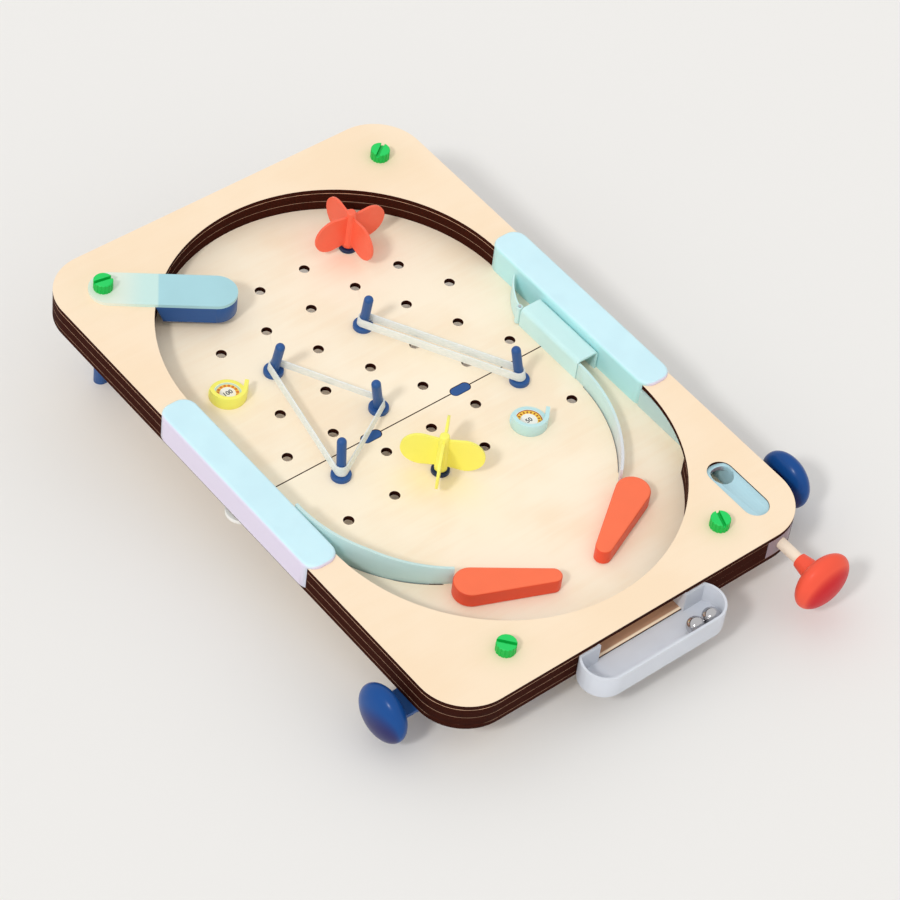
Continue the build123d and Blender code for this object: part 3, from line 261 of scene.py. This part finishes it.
WOOD = linear(251, 229, 200)
WOOD_DEEP = linear(247, 219, 184)
# Painted light: the playfield's paler tone, raised further to offset the shade of the opening's walls
FIELD_WOOD_WITH_PAINTED_LIGHT = linear(254, 240, 216)
CHAR = linear(52, 18, 9)
CHAR_LIGHT = linear(84, 38, 22)
CHAR_DEEP = linear(34, 11, 5)
# Painted shade for the drain's floor under the cover
SHADED_WOOD = linear(150, 98, 66)
FLECK = linear(196, 158, 118)
CUT_LINE = linear(232, 192, 160)
WOOD_SHINE = 0.06
PLY_THICKNESS = 1.2
LINE_SOFTNESS = 0.05

# Painted shade and burnt lines on the sheets: painted shade on the drain's floor, burnt lines at the seam and
# the left guide's groove
DRAIN_HALF_WIDTH = 40.0
DRAIN_REAR_Y = -166.0
DRAIN_FRONT_Y = -179.0
SEAM_CHAR = 0.32
LEFT_GUIDE_CENTRE = (-15.98, -27.66, 0.0)
LEFT_GUIDE_RADIUS = 85.0
GROOVE_CHAR = 0.25
GROOVE_REAR_Y = -82.0
GROOVE_RIGHT_X = -61.0

# The deflector strip runs from its screw to its hole, and is pale up to the edge of the opening
DEFLECTOR_SCREW = Vector((-93.5, 152.3, 0.0))
DEFLECTOR_HOLE = Vector((-45.0, 4.5 * ROW_PITCH, 0.0))
DEFLECTOR_WAY = (DEFLECTOR_HOLE - DEFLECTOR_SCREW).normalized()
DEFLECTOR_ON_COVER = 30.0
DEFLECTOR_EDGE = DEFLECTOR_WAY.dot(DEFLECTOR_SCREW) + DEFLECTOR_ON_COVER


def plywood(name):
    """Sheet faces with fine grain, and laser-cut walls burnt dark with their plies showing."""
    g = Graph(name)
    place = g.board()
    figure = g.noise(g.stretched(place, (0.02, 0.2, 0.2)), 1.0, 4.0, 0.55, 0.8)
    fibre = g.noise(g.stretched(place, (0.06, 2.4, 2.4)), 1.0, 3.0, 0.7)
    cloud = g.noise(place, 0.02, 2.0)
    tone = g.math("ADD", g.math("MULTIPLY", figure, 0.25), g.math("MULTIPLY", cloud, 0.75))
    parts = g.add("ShaderNodeSeparateXYZ", {0: place}).outputs
    height = parts["Z"]
    # The playfield's top is paler: partly its own tone, partly painted light offsetting the walls' shade
    wood = g.mix(g.near(height, 0.0, 1.0), WOOD, FIELD_WOOD_WITH_PAINTED_LIGHT)
    wood = g.mix(g.ramp(tone, 0.38, 0.66, 0.0, 0.45), wood, WOOD_DEEP)
    fleck = g.ramp(fibre, 0.66, 0.8)
    wood = g.mix(g.math("MULTIPLY", fleck, 0.06), wood, FLECK)

    ply = g.math("FRACT", g.math("DIVIDE", height, PLY_THICKNESS))
    ply_band = g.ramp(g.math("ABSOLUTE", g.math("SUBTRACT", ply, 0.5)), 0.2, 0.42)
    streak = g.noise(g.stretched(place, (2.6, 2.6, 0.2)), 1.0, 3.0, 0.6)
    burnt = g.mix(g.math("MULTIPLY", ply_band, 0.3), CHAR, CHAR_LIGHT)
    burnt = g.mix(g.ramp(streak, 0.5, 0.72, 0.0, 0.7), burnt, CHAR_DEEP)

    low = g.near(height, 0.0, 1.0)
    drain_sides = g.near(parts["X"], 0.0, DRAIN_HALF_WIDTH)
    drain_rear = g.ramp(parts["Y"], DRAIN_REAR_Y, DRAIN_REAR_Y - 2.0)
    drain_front = g.ramp(parts["Y"], DRAIN_FRONT_Y, DRAIN_FRONT_Y + 1.0)
    drain = g.all_of(drain_sides, drain_rear, drain_front, low)
    # Painted shade: the drain's floor under the cover is darkened and its front edge is left pale
    wood = g.mix(g.math("MULTIPLY", drain, 0.8), wood, SHADED_WOOD)
    wood = g.mix(g.near(parts["Y"], 0.0, SEAM_CHAR), wood, CHAR_DEEP)
    away = g.add("ShaderNodeVectorMath", {0: g.flat(), 1: LEFT_GUIDE_CENTRE}, operation="DISTANCE")
    groove_line = g.near(away.outputs["Value"], LEFT_GUIDE_RADIUS, GROOVE_CHAR)
    groove_rear = g.ramp(parts["Y"], GROOVE_REAR_Y, GROOVE_REAR_Y - 2.0)
    groove_right = g.ramp(parts["X"], GROOVE_RIGHT_X, GROOVE_RIGHT_X - 1.0)
    wood = g.mix(g.all_of(groove_line, groove_rear, groove_right, low), wood, CHAR_DEEP)

    up = g.add("ShaderNodeTexCoord").outputs["Normal"]
    up = g.add("ShaderNodeVectorMath", {0: up, 1: tuple(NORMAL)}, operation="DOT_PRODUCT").outputs["Value"]
    wall = g.ramp(g.math("ABSOLUTE", up), 0.75, 0.45)
    colour = g.mix(wall, wood, burnt)
    rough = g.math("ADD", 0.55, g.math("MULTIPLY", wall, 0.3))
    relief = g.bump(fibre, 0.06, 0.05, g.bump(figure, 0.05, 0.05))
    g.shader.inputs["Specular IOR Level"].default_value = WOOD_SHINE
    return g.finish(Base_Color=colour, Roughness=rough, Normal=relief)


def burnt_rim(name):
    """Narrow edges of a cut sheet: wood on top, charred in gaps and holes, pale where sheets meet."""
    g = Graph(name)
    parts = g.add("ShaderNodeSeparateXYZ", {0: g.board()}).outputs
    height = parts["Z"]
    wander = g.noise(g.board(), 0.2, 3.0)
    colour = g.mix(g.ramp(wander, 0.35, 0.65), CHAR, CHAR_LIGHT)
    outer_x = g.ramp(g.math("ABSOLUTE", parts["X"]), BOARD_HALF_WIDTH - 1.5, BOARD_HALF_WIDTH - 0.5)
    outer_y = g.ramp(g.math("ABSOLUTE", parts["Y"]), BOARD_HALF_LENGTH - 1.5, BOARD_HALF_LENGTH - 0.5)
    outer = g.math("MAXIMUM", outer_x, outer_y)
    lines = (
        (g.near(height, SPACER_THICKNESS, 0.3), 0.5),
        (g.near(height, COVER_BOTTOM, 0.3), 0.95),
        (g.math("MULTIPLY", g.near(height, 0.0, 0.3), outer), 0.5),
        (g.math("MULTIPLY", g.near(height, -PLAYFIELD_THICKNESS, 0.3), outer), 0.4),
    )
    for line, strength in lines:
        share = g.math("MULTIPLY", line, g.ramp(wander, 0.3, 0.6, 0.6 * strength, strength))
        colour = g.mix(share, colour, CUT_LINE)
    seam = g.near(parts["Y"], 0.0, 0.45)
    top = g.math("MULTIPLY", g.ramp(height, COVER_TOP - 0.5, COVER_TOP - 0.4), g.math("SUBTRACT", 1.0, seam))
    colour = g.mix(top, colour, WOOD)
    g.shader.inputs["Specular IOR Level"].default_value = WOOD_SHINE
    return g.finish(Base_Color=colour, Roughness=0.75)


def plastic(
    name,
    colour,
    roughness=0.4,
    soft=0.0,
    alpha=1.0,
    tints_and_painted_light=(),
    coat=0.0,
    shine=0.3,
    grain_mm=0.35,
    relief=0.04,
):
    """Moulded or printed plastic with a fine surface, a slight drift of tone, and colour overlays.

    An overlay is a colour and the masks that limit it: ("faces", way, low, high) or ("lies", way, low, high).
    Most overlays are painted light: painted reflections and painted shade on faces turned one way.
    """
    g = Graph(name)
    place = g.board()
    drift = g.noise(place, 0.05, 2.0)
    fine = g.noise(place, 1.0 / grain_mm, 2.0)
    darker = tuple(0.92 * value for value in colour)
    tone = g.mix(g.ramp(drift, 0.3, 0.7, 0.0, 0.5), colour, darker)
    for overlay, *masks in tints_and_painted_light:
        share = 1.0
        for kind, *limits in masks:
            share = g.math("MULTIPLY", share, getattr(g, kind)(*limits))
        tone = g.mix(share, tone, overlay)
    rough = g.math("ADD", roughness - 0.03, g.math("MULTIPLY", fine, 0.06))
    normal = g.bump(fine, relief * 4, relief * grain_mm)
    g.shader.inputs["Subsurface Weight"].default_value = soft
    g.shader.inputs["Subsurface Radius"].default_value = (1.0, 1.0, 1.0)
    g.shader.inputs["Subsurface Scale"].default_value = 2 * MM
    g.shader.inputs["Coat Weight"].default_value = coat
    g.shader.inputs["Coat Roughness"].default_value = 0.22
    g.shader.inputs["Specular IOR Level"].default_value = shine
    g.shader.inputs["Alpha"].default_value = alpha
    return g.finish(Base_Color=tone, Roughness=rough, Normal=normal)


def metal(name, colour, roughness):
    """Bare metal with faint scratches."""
    g = Graph(name)
    scratch = g.noise(g.stretched(g.board(), (0.4, 6.0, 0.4)), 1.0, 3.0)
    rough = g.math("ADD", roughness, g.math("MULTIPLY", scratch, 0.06))
    g.shader.inputs["Metallic"].default_value = 1.0
    normal = g.bump(scratch, 0.05, 0.01)
    return g.finish(Base_Color=colour, Roughness=rough, Normal=normal)


def rubber(name):
    """Milky stretched rubber, paler where it is pulled thin."""
    g = Graph(name)
    stretch = g.noise(g.stretched(g.board(), (0.3, 0.3, 1.2)), 1.0, 3.0)
    tone = g.mix(g.ramp(stretch, 0.35, 0.7), linear(252, 254, 252), linear(238, 246, 243))
    g.shader.inputs["Alpha"].default_value = 0.72
    return g.finish(Base_Color=tone, Roughness=0.45, Normal=g.bump(stretch, 0.15, 0.05))


# Masks for painted light: walls facing left and front get painted reflections and painted shade, and the
# sides of solids get painted shade
PAINTED_LIGHT_LEFT_WALLS = ("faces", (-1, 0, 0), 0.4, 0.9)
PAINTED_LIGHT_FRONT_WALLS = ("faces", (0, -1, 0), 0.4, 0.9)
PAINTED_SHADE_SIDES = ("faces", (0, 0, 1), 0.8, 0.5)
MATERIALS = {
    "wood": plywood("plywood"),
    "rim": burnt_rim("burnt_rim"),
    "mint": plastic(
        "mint_plastic",
        linear(208, 242, 252),
        soft=0.3,
        # Painted reflection of the room in lilac on the walls facing left and front, and painted shade in
        # teal on the right clip's inner wall
        tints_and_painted_light=(
            (linear(224, 212, 232), PAINTED_LIGHT_LEFT_WALLS, ("lies", (1, 0, 0), -118.0, -122.0)),
            (linear(224, 212, 232), PAINTED_LIGHT_FRONT_WALLS),
            (linear(190, 238, 240), PAINTED_LIGHT_LEFT_WALLS, ("lies", (1, 0, 0), 90.0, 92.0)),
        ),
    ),
    "mint_deep": plastic("mint_deep_plastic", linear(212, 250, 248), 0.36, soft=0.3, alpha=0.92),
    "aqua": plastic("aqua_plastic", linear(212, 241, 239), 0.36, soft=0.3, alpha=0.8),
    "aqua_grey": plastic(
        "aqua_grey_plastic",
        linear(212, 243, 241),
        0.36,
        soft=0.3,
        alpha=0.84,
        tints_and_painted_light=((linear(228, 230, 234), ("lies", (0, 1, 0), -55.0, -90.0)),),
    ),
    "insert": plastic(
        "insert_plastic",
        linear(180, 216, 226),
        0.34,
        soft=0.2,
        # The lilac front end is painted shade, and the darker front wall is painted shade with a painted
        # reflection
        tints_and_painted_light=(
            (linear(190, 178, 192), ("lies", (0, 1, 0), -168.0, -179.0)),
            (linear(152, 136, 146), PAINTED_LIGHT_FRONT_WALLS),
        ),
    ),
    "deflector": plastic(
        "deflector_plastic",
        linear(176, 222, 230),
        0.4,
        alpha=0.93,
        tints_and_painted_light=(
            (linear(208, 240, 234), ("lies", DEFLECTOR_WAY, DEFLECTOR_EDGE, DEFLECTOR_EDGE - 1.5)),
            (linear(236, 244, 230), ("lies", DEFLECTOR_WAY, DEFLECTOR_EDGE - 6.0, DEFLECTOR_EDGE - 26.0)),
        ),
    ),
    "tray": plastic("tray_plastic", linear(226, 230, 238), 0.34, soft=0.2, alpha=0.84),
    "blue": plastic("blue_plastic", linear(42, 86, 148), 0.4, relief=0.08),
    "knob_blue": plastic(
        "blue_gloss",
        linear(20, 74, 142),
        0.3,
        coat=0.18,
        shine=0.12,
        relief=0.01,
        # Painted shade with a painted reflection: dark purple on the faces turned front and down
        tints_and_painted_light=((linear(40, 40, 96), ("faces", (-0.85, -0.3, -0.5), 0.6, 0.9)),),
    ),
    # Sides darker than the top: painted shade
    "green": plastic(
        "green_plastic", linear(30, 212, 98), 0.45, relief=0.1, tints_and_painted_light=((linear(12, 186, 76), PAINTED_SHADE_SIDES),)
    ),
    # Sides darker than the top: painted shade
    "coral": plastic(
        "coral_plastic", linear(255, 118, 78), 0.42, soft=0.08, tints_and_painted_light=((linear(240, 82, 50), PAINTED_SHADE_SIDES),)
    ),
    "spinner_coral": plastic("spinner_coral", linear(253, 108, 78), 0.38, soft=0.1, coat=0.1),
    "knob_coral": plastic(
        "coral_knob",
        linear(246, 92, 68),
        coat=0.06,
        shine=0.12,
        # Painted shade: deep red on the faces turned to the front
        tints_and_painted_light=((linear(206, 30, 38), ("faces", (0.1, -1, -0.3), 0.66, 0.9)),),
    ),
    "yellow": plastic("yellow_plastic", linear(254, 246, 112), 0.4, soft=0.2),
    "pale_blue": plastic("pale_blue_plastic", linear(196, 232, 233), 0.38, soft=0.25),
    "cream": plastic("cream_rod", linear(247, 230, 208), 0.5, grain_mm=0.8, relief=0.08),
    "white": plastic("white_plastic", linear(240, 238, 232)),
    "navy": plastic("navy_plastic", linear(24, 44, 84)),
    "chrome": metal("chrome", (0.56, 0.55, 0.56), 0.07),
    "wire": metal("spring_wire", (0.62, 0.62, 0.64), 0.28),
    "band": rubber("band_rubber"),
    "paper": plastic("printed_paper", linear(250, 247, 238), 0.62, relief=0.02),
    "ink": plastic("ink_grey", linear(34, 48, 56), 0.6, relief=0.02),
    "ink_mint": plastic("ink_mint", linear(196, 224, 196), 0.6, relief=0.02),
    "ink_yellow": plastic("ink_yellow", linear(252, 206, 74), 0.6, relief=0.02),
    "ink_orange": plastic("ink_orange", linear(224, 126, 52), 0.6, relief=0.02),
    "ink_brown": plastic("ink_brown", linear(176, 84, 36), 0.6, relief=0.02),
}


def dress(node, material, bevel_mm=0.0, rim=None):
    """Give a CAD node its material and, where asked, narrow rounded edges."""
    target = frame["nodes"][node]
    target.data.materials.clear()
    target.data.materials.append(MATERIALS[material])
    if rim:
        target.data.materials.append(MATERIALS[rim])
    if bevel_mm:
        weld = target.modifiers.new("weld", "WELD")
        weld.merge_threshold = WELD_MM * MM
        bevel = target.modifiers.new("edges", "BEVEL")
        bevel.width = bevel_mm * MM
        bevel.segments = 1 if rim else 2
        bevel.limit_method = "ANGLE"
        bevel.angle_limit = math.radians(EDGE_ANGLE_DEG)
        bevel.use_clamp_overlap = True
        bevel.harden_normals = True
        bevel.material = 1 if rim else -1


def build(name, vertices, faces, material, body="board", smooth=True, replaces=()):
    """A piece from points in the board frame."""
    data = bpy.data.meshes.new(name)
    data.from_pydata([BOARD @ Vector(point) for point in vertices], [], faces)
    data.materials.append(MATERIALS[material])
    fixer = bmesh.new()
    fixer.from_mesh(data)
    bmesh.ops.recalc_face_normals(fixer, faces=fixer.faces)
    fixer.to_mesh(data)
    fixer.free()
    for polygon in data.polygons:
        polygon.use_smooth = smooth
    made = bpy.data.objects.new(name, data)
    bpy.context.scene.collection.objects.link(made)
    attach(made, body)
    if replaces:
        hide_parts(*replaces)
    return made


def ring_faces(rows, columns, closed):
    """Quads between closed rings of points stored row after row, the last joined to the first if closed."""
    found = []
    for i in range(rows if closed else rows - 1):
        for j in range(columns):
            k = (i + 1) % rows
            m = (j + 1) % columns
            found.append((i * columns + j, i * columns + m, k * columns + m, k * columns + j))
    return found


def site_point(column, row):
    """A place of the hole grid, in millimetres from the middle of the board."""
    return column * HOLE_PITCH, row * ROW_PITCH


# Board and cover
SHEETS = ["playfield_rear", "playfield_front", "top_cover_rear", "top_cover_front"]
SPACER_PARTS = ("rear", "left", "middle", "right")
SHEETS += [level + "_spacer_" + part for level in ("lower", "upper") for part in SPACER_PARTS]
for sheet in SHEETS:
    dress(sheet, "wood", RIM_MM, "rim")

# Plain dressings of the other CAD nodes: material and width of the softened edges
DRESSINGS = {
    "seam_keys": ("blue", 0.2),
    "seam_nuts": ("white", 0.2),
    "corner_screws": ("green", 0.0),
    "rear_legs": ("blue", 0.4),
    "front_feet": ("blue", 0.4),
    "deflector_arm": ("deflector", 0.0),
    "deflector_block": ("blue", 0.25),
    "left_guide": ("aqua", 0.15),
    "right_guide": ("aqua_grey", 0.15),
    "lane_tunnel": ("mint_deep", 0.0),
    "lane_liner": ("aqua", 0.15),
    "gate_pin": ("wire", 0.0),
    "lane_gate": ("mint_deep", 0.0),
    "launcher_housing": ("insert", 0.15),
    "plunger_rod": ("cream", 0.0),
    "plunger_knob": ("knob_coral", 0.0),
    "ball_tray": ("tray", 0.2),
    "balls": ("chrome", 0.0),
    "pegs": ("blue", 0.0),
    "spinner_posts": ("navy", 0.0),
    "red_spinner": ("spinner_coral", 0.25),
    "yellow_spinner": ("yellow", 0.25),
    "yellow_cup": ("yellow", 0.3),
    "blue_cup": ("pale_blue", 0.3),
    "yellow_cup_label": ("paper", 0.0),
    "blue_cup_label": ("paper", 0.0),
    "bar_brackets": ("blue", 0.2),
    "spring_anchor": ("blue", 0.2),
}
for side in ("left", "right"):
    DRESSINGS["side_clip_" + side] = ("mint", 0.15)
    DRESSINGS["flipper_" + side] = ("coral", 0.0)
    DRESSINGS["flipper_crank_" + side] = ("blue", 0.2)
    DRESSINGS["push_bar_" + side] = ("blue", 0.2)
    DRESSINGS["side_knob_" + side] = ("knob_blue", 0.0)
for node, (material, width) in DRESSINGS.items():
    dress(node, material, width)


def band_path(sites):
    """Points, outward directions and leans round the pegs of a band."""
    centres = []
    share = (BAND_MIDDLE_Z - PEG_ROOT_Z) / (PEG_TIP_Z - PEG_ROOT_Z)
    for column, row, lean_x, lean_y in sites:
        x, y = site_point(column, row)
        centres.append((x + share * lean_x, y + share * lean_y, lean_x, lean_y))
    middle = [sum(c[i] for c in centres) / len(centres) for i in (0, 1)]
    centres.sort(key=lambda c: math.atan2(c[1] - middle[1], c[0] - middle[0]))
    count = len(centres)
    found = []
    for i, (x, y, lean_x, lean_y) in enumerate(centres):
        before = centres[i - 1]
        after = centres[(i + 1) % count]
        start = math.atan2(y - before[1], x - before[0]) - math.pi / 2
        sweep = (math.atan2(after[1] - y, after[0] - x) - math.pi / 2 - start) % (2 * math.pi)
        for step in range(BAND_CORNER_STEPS + 1):
            angle = start + sweep * step / BAND_CORNER_STEPS
            found.append((x, y, math.cos(angle), math.sin(angle), lean_x, lean_y))
    return found


def band_profile():
    """Cross-section of a stretched band: a flat ribbon with rounded edges."""
    half = BAND_THICKNESS / 2
    found = []
    for end in (1, -1):
        for step in range(BAND_EDGE_STEPS + 1):
            angle = math.pi * step / BAND_EDGE_STEPS
            across = half * math.cos(angle) * end
            up = (BAND_HEIGHT / 2 - half + half * math.sin(angle)) * end
            found.append((half + across, up))
    return found


def band(name, sites):
    """A stretched rubber band round its pegs."""
    profile = band_profile()
    path = band_path(sites)
    points = []
    for x, y, out_x, out_y, lean_x, lean_y in path:
        for across, up in profile:
            reach = BAND_INNER_RADIUS + across
            share = up / (PEG_TIP_Z - PEG_ROOT_Z)
            place = (x + share * lean_x + reach * out_x, y + share * lean_y + reach * out_y)
            points.append((*place, BAND_MIDDLE_Z + up))
    faces = ring_faces(len(path), len(profile), True)
    build("ribbon_" + name, points, faces, "band", replaces=("rubber_" + name,))


band("band_left", PEGS_LEFT_BAND)
band("band_right", PEGS_RIGHT_BAND)


def coil_points(start, way, side, length, radius, wire, turns):
    """Rings of points round the wire of a spring with closed end turns."""
    forward = Vector(way)
    first = Vector(side)
    second = forward.cross(first)
    steps = turns * STEPS_PER_TURN
    middle_pitch = (length - 3 * wire) / (turns - 2)
    found = []
    for step in range(steps + 1):
        turn = step / STEPS_PER_TURN
        advance = wire / 2 + wire * min(turn, 1) + middle_pitch * min(max(turn - 1, 0), turns - 2)
        advance += wire * max(turn - turns + 1, 0)
        out = first * math.cos(2 * math.pi * turn) + second * math.sin(2 * math.pi * turn)
        centre = Vector(start) + forward * advance + out * radius
        for k in range(WIRE_SIDES):
            angle = 2 * math.pi * k / WIRE_SIDES
            found.append(centre + (out * math.cos(angle) + forward * math.sin(angle)) * (wire / 2))
    return found


def spring(node, start, way, length, radius, wire, turns, joint):
    """A coil spring from its start along its way, standing in for its CAD node."""
    points = coil_points(start, way, (0, 0, 1), length, radius, wire, turns)
    faces = ring_faces(turns * STEPS_PER_TURN + 1, WIRE_SIDES, False)
    faces.append(tuple(range(WIRE_SIDES)))
    faces.append(tuple(range(len(points) - WIRE_SIDES, len(points))))
    made = build("coil_" + node, points, faces, "wire", replaces=(node,))
    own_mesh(made)


for side, sign in (("left", -1), ("right", 1)):
    place = (sign * SIDE_SPRING_INNER_X, *SIDE_SPRING_PLACE)
    shape = (SIDE_SPRING_LENGTH, SIDE_SPRING_RADIUS, SIDE_SPRING_WIRE, SIDE_SPRING_TURNS)
    spring("bar_spring_" + side, place, (sign, 0, 0), *shape, side + "_push")
plunger_seat = (PLUNGER_SPRING_PLACE[0], PLUNGER_SPRING_FRONT_Y, PLUNGER_SPRING_PLACE[1])
shape = (PLUNGER_SPRING_LENGTH, PLUNGER_SPRING_RADIUS, PLUNGER_SPRING_WIRE, PLUNGER_SPRING_TURNS)
spring("plunger_spring", plunger_seat, (0, 1, 0), *shape, "plunger_pull")


def prisms(name, outlines, material):
    """Thin printed marks on a cup's disc, each an outline of points in the board frame."""
    points = []
    faces = []
    for outline in outlines:
        first = len(points)
        count = len(outline)
        points += [(x, y, LABEL_TOP) for x, y in outline]
        points += [(x, y, LABEL_TOP + PRINT_THICKNESS) for x, y in outline]
        faces.append(tuple(range(first, first + count)))
        faces.append(tuple(range(first + count, first + 2 * count)))
        for i in range(count):
            j = (i + 1) % count
            faces.append((first + i, first + j, first + count + j, first + count + i))
    build(name, points, faces, material, smooth=False)


def ring(name, site, inner, outer, material):
    """A printed ring."""
    x, y = site_point(*site)
    points = []
    for step in range(RING_STEPS):
        angle = 2 * math.pi * step / RING_STEPS
        for radius, z in ((inner, 0), (outer, 0), (outer, PRINT_THICKNESS / 2), (inner, PRINT_THICKNESS / 2)):
            points.append((x + radius * math.cos(angle), y + radius * math.sin(angle), LABEL_TOP + z))
    build(name, points, ring_faces(RING_STEPS, 4, True), material, smooth=False)


def marks(name, site, count, radius, length, width, material):
    """A ring of printed ovals, longer along the radius where length is above width."""
    x, y = site_point(*site)
    outlines = []
    for k in range(count):
        way = 2 * math.pi * k / count
        outline = []
        for step in range(MARK_STEPS):
            angle = 2 * math.pi * step / MARK_STEPS
            reach = radius + length / 2 * math.cos(angle)
            aside = width / 2 * math.sin(angle)
            px = x + reach * math.cos(way) - aside * math.sin(way)
            py = y + reach * math.sin(way) + aside * math.cos(way)
            outline.append((px, py))
        outlines.append(outline)
    prisms(name, outlines, material)


def number(name, words, site):
    """A plain printed number, upright towards the back of the board."""
    curve = bpy.data.curves.new(name, "FONT")
    curve.body = words
    curve.size = NUMBER_HEIGHT
    curve.align_x = "CENTER"
    curve.align_y = "CENTER"
    curve.extrude = PRINT_THICKNESS / 2
    curve.offset = NUMBER_THICKENING
    text = bpy.data.objects.new(name, curve)
    bpy.context.scene.collection.objects.link(text)
    bpy.context.view_layer.update()
    shape = bpy.data.meshes.new_from_object(text.evaluated_get(bpy.context.evaluated_depsgraph_get()))
    x, y = site_point(*site)
    lift = LABEL_TOP + PRINT_THICKNESS / 2
    points = [(x + v.co.x, y + v.co.y, lift + v.co.z) for v in shape.vertices]
    faces = [tuple(polygon.vertices) for polygon in shape.polygons]
    bpy.data.objects.remove(text)
    bpy.data.curves.remove(curve)
    build(name + "_digits", points, faces, "ink", smooth=False)


ring("yellow_cup_ring", YELLOW_CUP, *YELLOW_RING, "ink_mint")
ring("yellow_cup_band", YELLOW_CUP, *YELLOW_BAND, "ink_yellow")
marks("yellow_cup_marks", YELLOW_CUP, *YELLOW_MARKS, "ink_orange")
number("yellow_cup_number", "100", YELLOW_CUP)
ring("blue_cup_ring", BLUE_CUP, *BLUE_RING, "ink_brown")
ring("blue_cup_band", BLUE_CUP, *BLUE_BAND, "ink_yellow")
marks("blue_cup_marks", BLUE_CUP, *BLUE_MARKS, "ink_brown")
number("blue_cup_number", "50", BLUE_CUP)


def camera():
    """The photograph's camera."""
    data = bpy.data.cameras.new("camera")
    data.lens = CAMERA_LENS
    data.sensor_width = CAMERA_SENSOR
    data.clip_start = CAMERA_NEAREST
    data.clip_end = CAMERA_FARTHEST
    made = bpy.data.objects.new("camera", data)
    bpy.context.scene.collection.objects.link(made)
    axes = Matrix((CAMERA_RIGHT, CAMERA_UP, CAMERA_BACK)).transposed()
    made.matrix_world = Matrix.Translation(BOARD @ Vector(CAMERA_PLACE)) @ TURN @ axes.to_4x4()
    bpy.context.scene.camera = made


def light():
    """One soft key light from the left and an even sky."""
    data = bpy.data.lights.new("key", "SUN")
    data.energy = SUN_STRENGTH
    data.angle = math.radians(SUN_ANGLE_DEG)
    made = bpy.data.objects.new("key", data)
    bpy.context.scene.collection.objects.link(made)
    way = TURN @ Vector(SUN_DIRECTION)
    made.rotation_euler = way.to_track_quat("-Z", "Y").to_euler()
    world = bpy.data.worlds.new("sky")
    bpy.context.scene.world = world
    world.use_nodes = True
    tree = world.node_tree
    sky = tree.nodes["Background"]
    sky.inputs["Color"].default_value = (1, 1, 1, 1)
    sky.inputs["Strength"].default_value = SKY_STRENGTH
    seen = tree.nodes.new("ShaderNodeBackground")
    seen.inputs["Color"].default_value = (*BACKDROP_COLOUR, 1)
    path = tree.nodes.new("ShaderNodeLightPath")
    most = tree.nodes.new("ShaderNodeMath")
    most.operation = "MAXIMUM"
    tree.links.new(path.outputs["Is Camera Ray"], most.inputs[0])
    tree.links.new(path.outputs["Is Transmission Ray"], most.inputs[1])
    mixer = tree.nodes.new("ShaderNodeMixShader")
    tree.links.new(most.outputs[0], mixer.inputs[0])
    tree.links.new(sky.outputs[0], mixer.inputs[1])
    tree.links.new(seen.outputs[0], mixer.inputs[2])
    tree.links.new(mixer.outputs[0], tree.nodes["World Output"].inputs[0])


def floor():
    """Plain pale floor."""
    g = Graph("floor")
    g.finish(Base_Color=FLOOR_COLOUR, Roughness=0.9)
    data = bpy.data.meshes.new("floor")
    corners = [(x * FLOOR_REACH, y * FLOOR_REACH, 0) for x, y in ((-1, -1), (1, -1), (1, 1), (-1, 1))]
    data.from_pydata(corners, [], [(0, 1, 2, 3)])
    data.materials.append(g.material)
    made = bpy.data.objects.new("floor", data)
    bpy.context.scene.collection.objects.link(made)


camera()
light()
floor()

bpy.context.scene.view_settings.view_transform = "Standard"
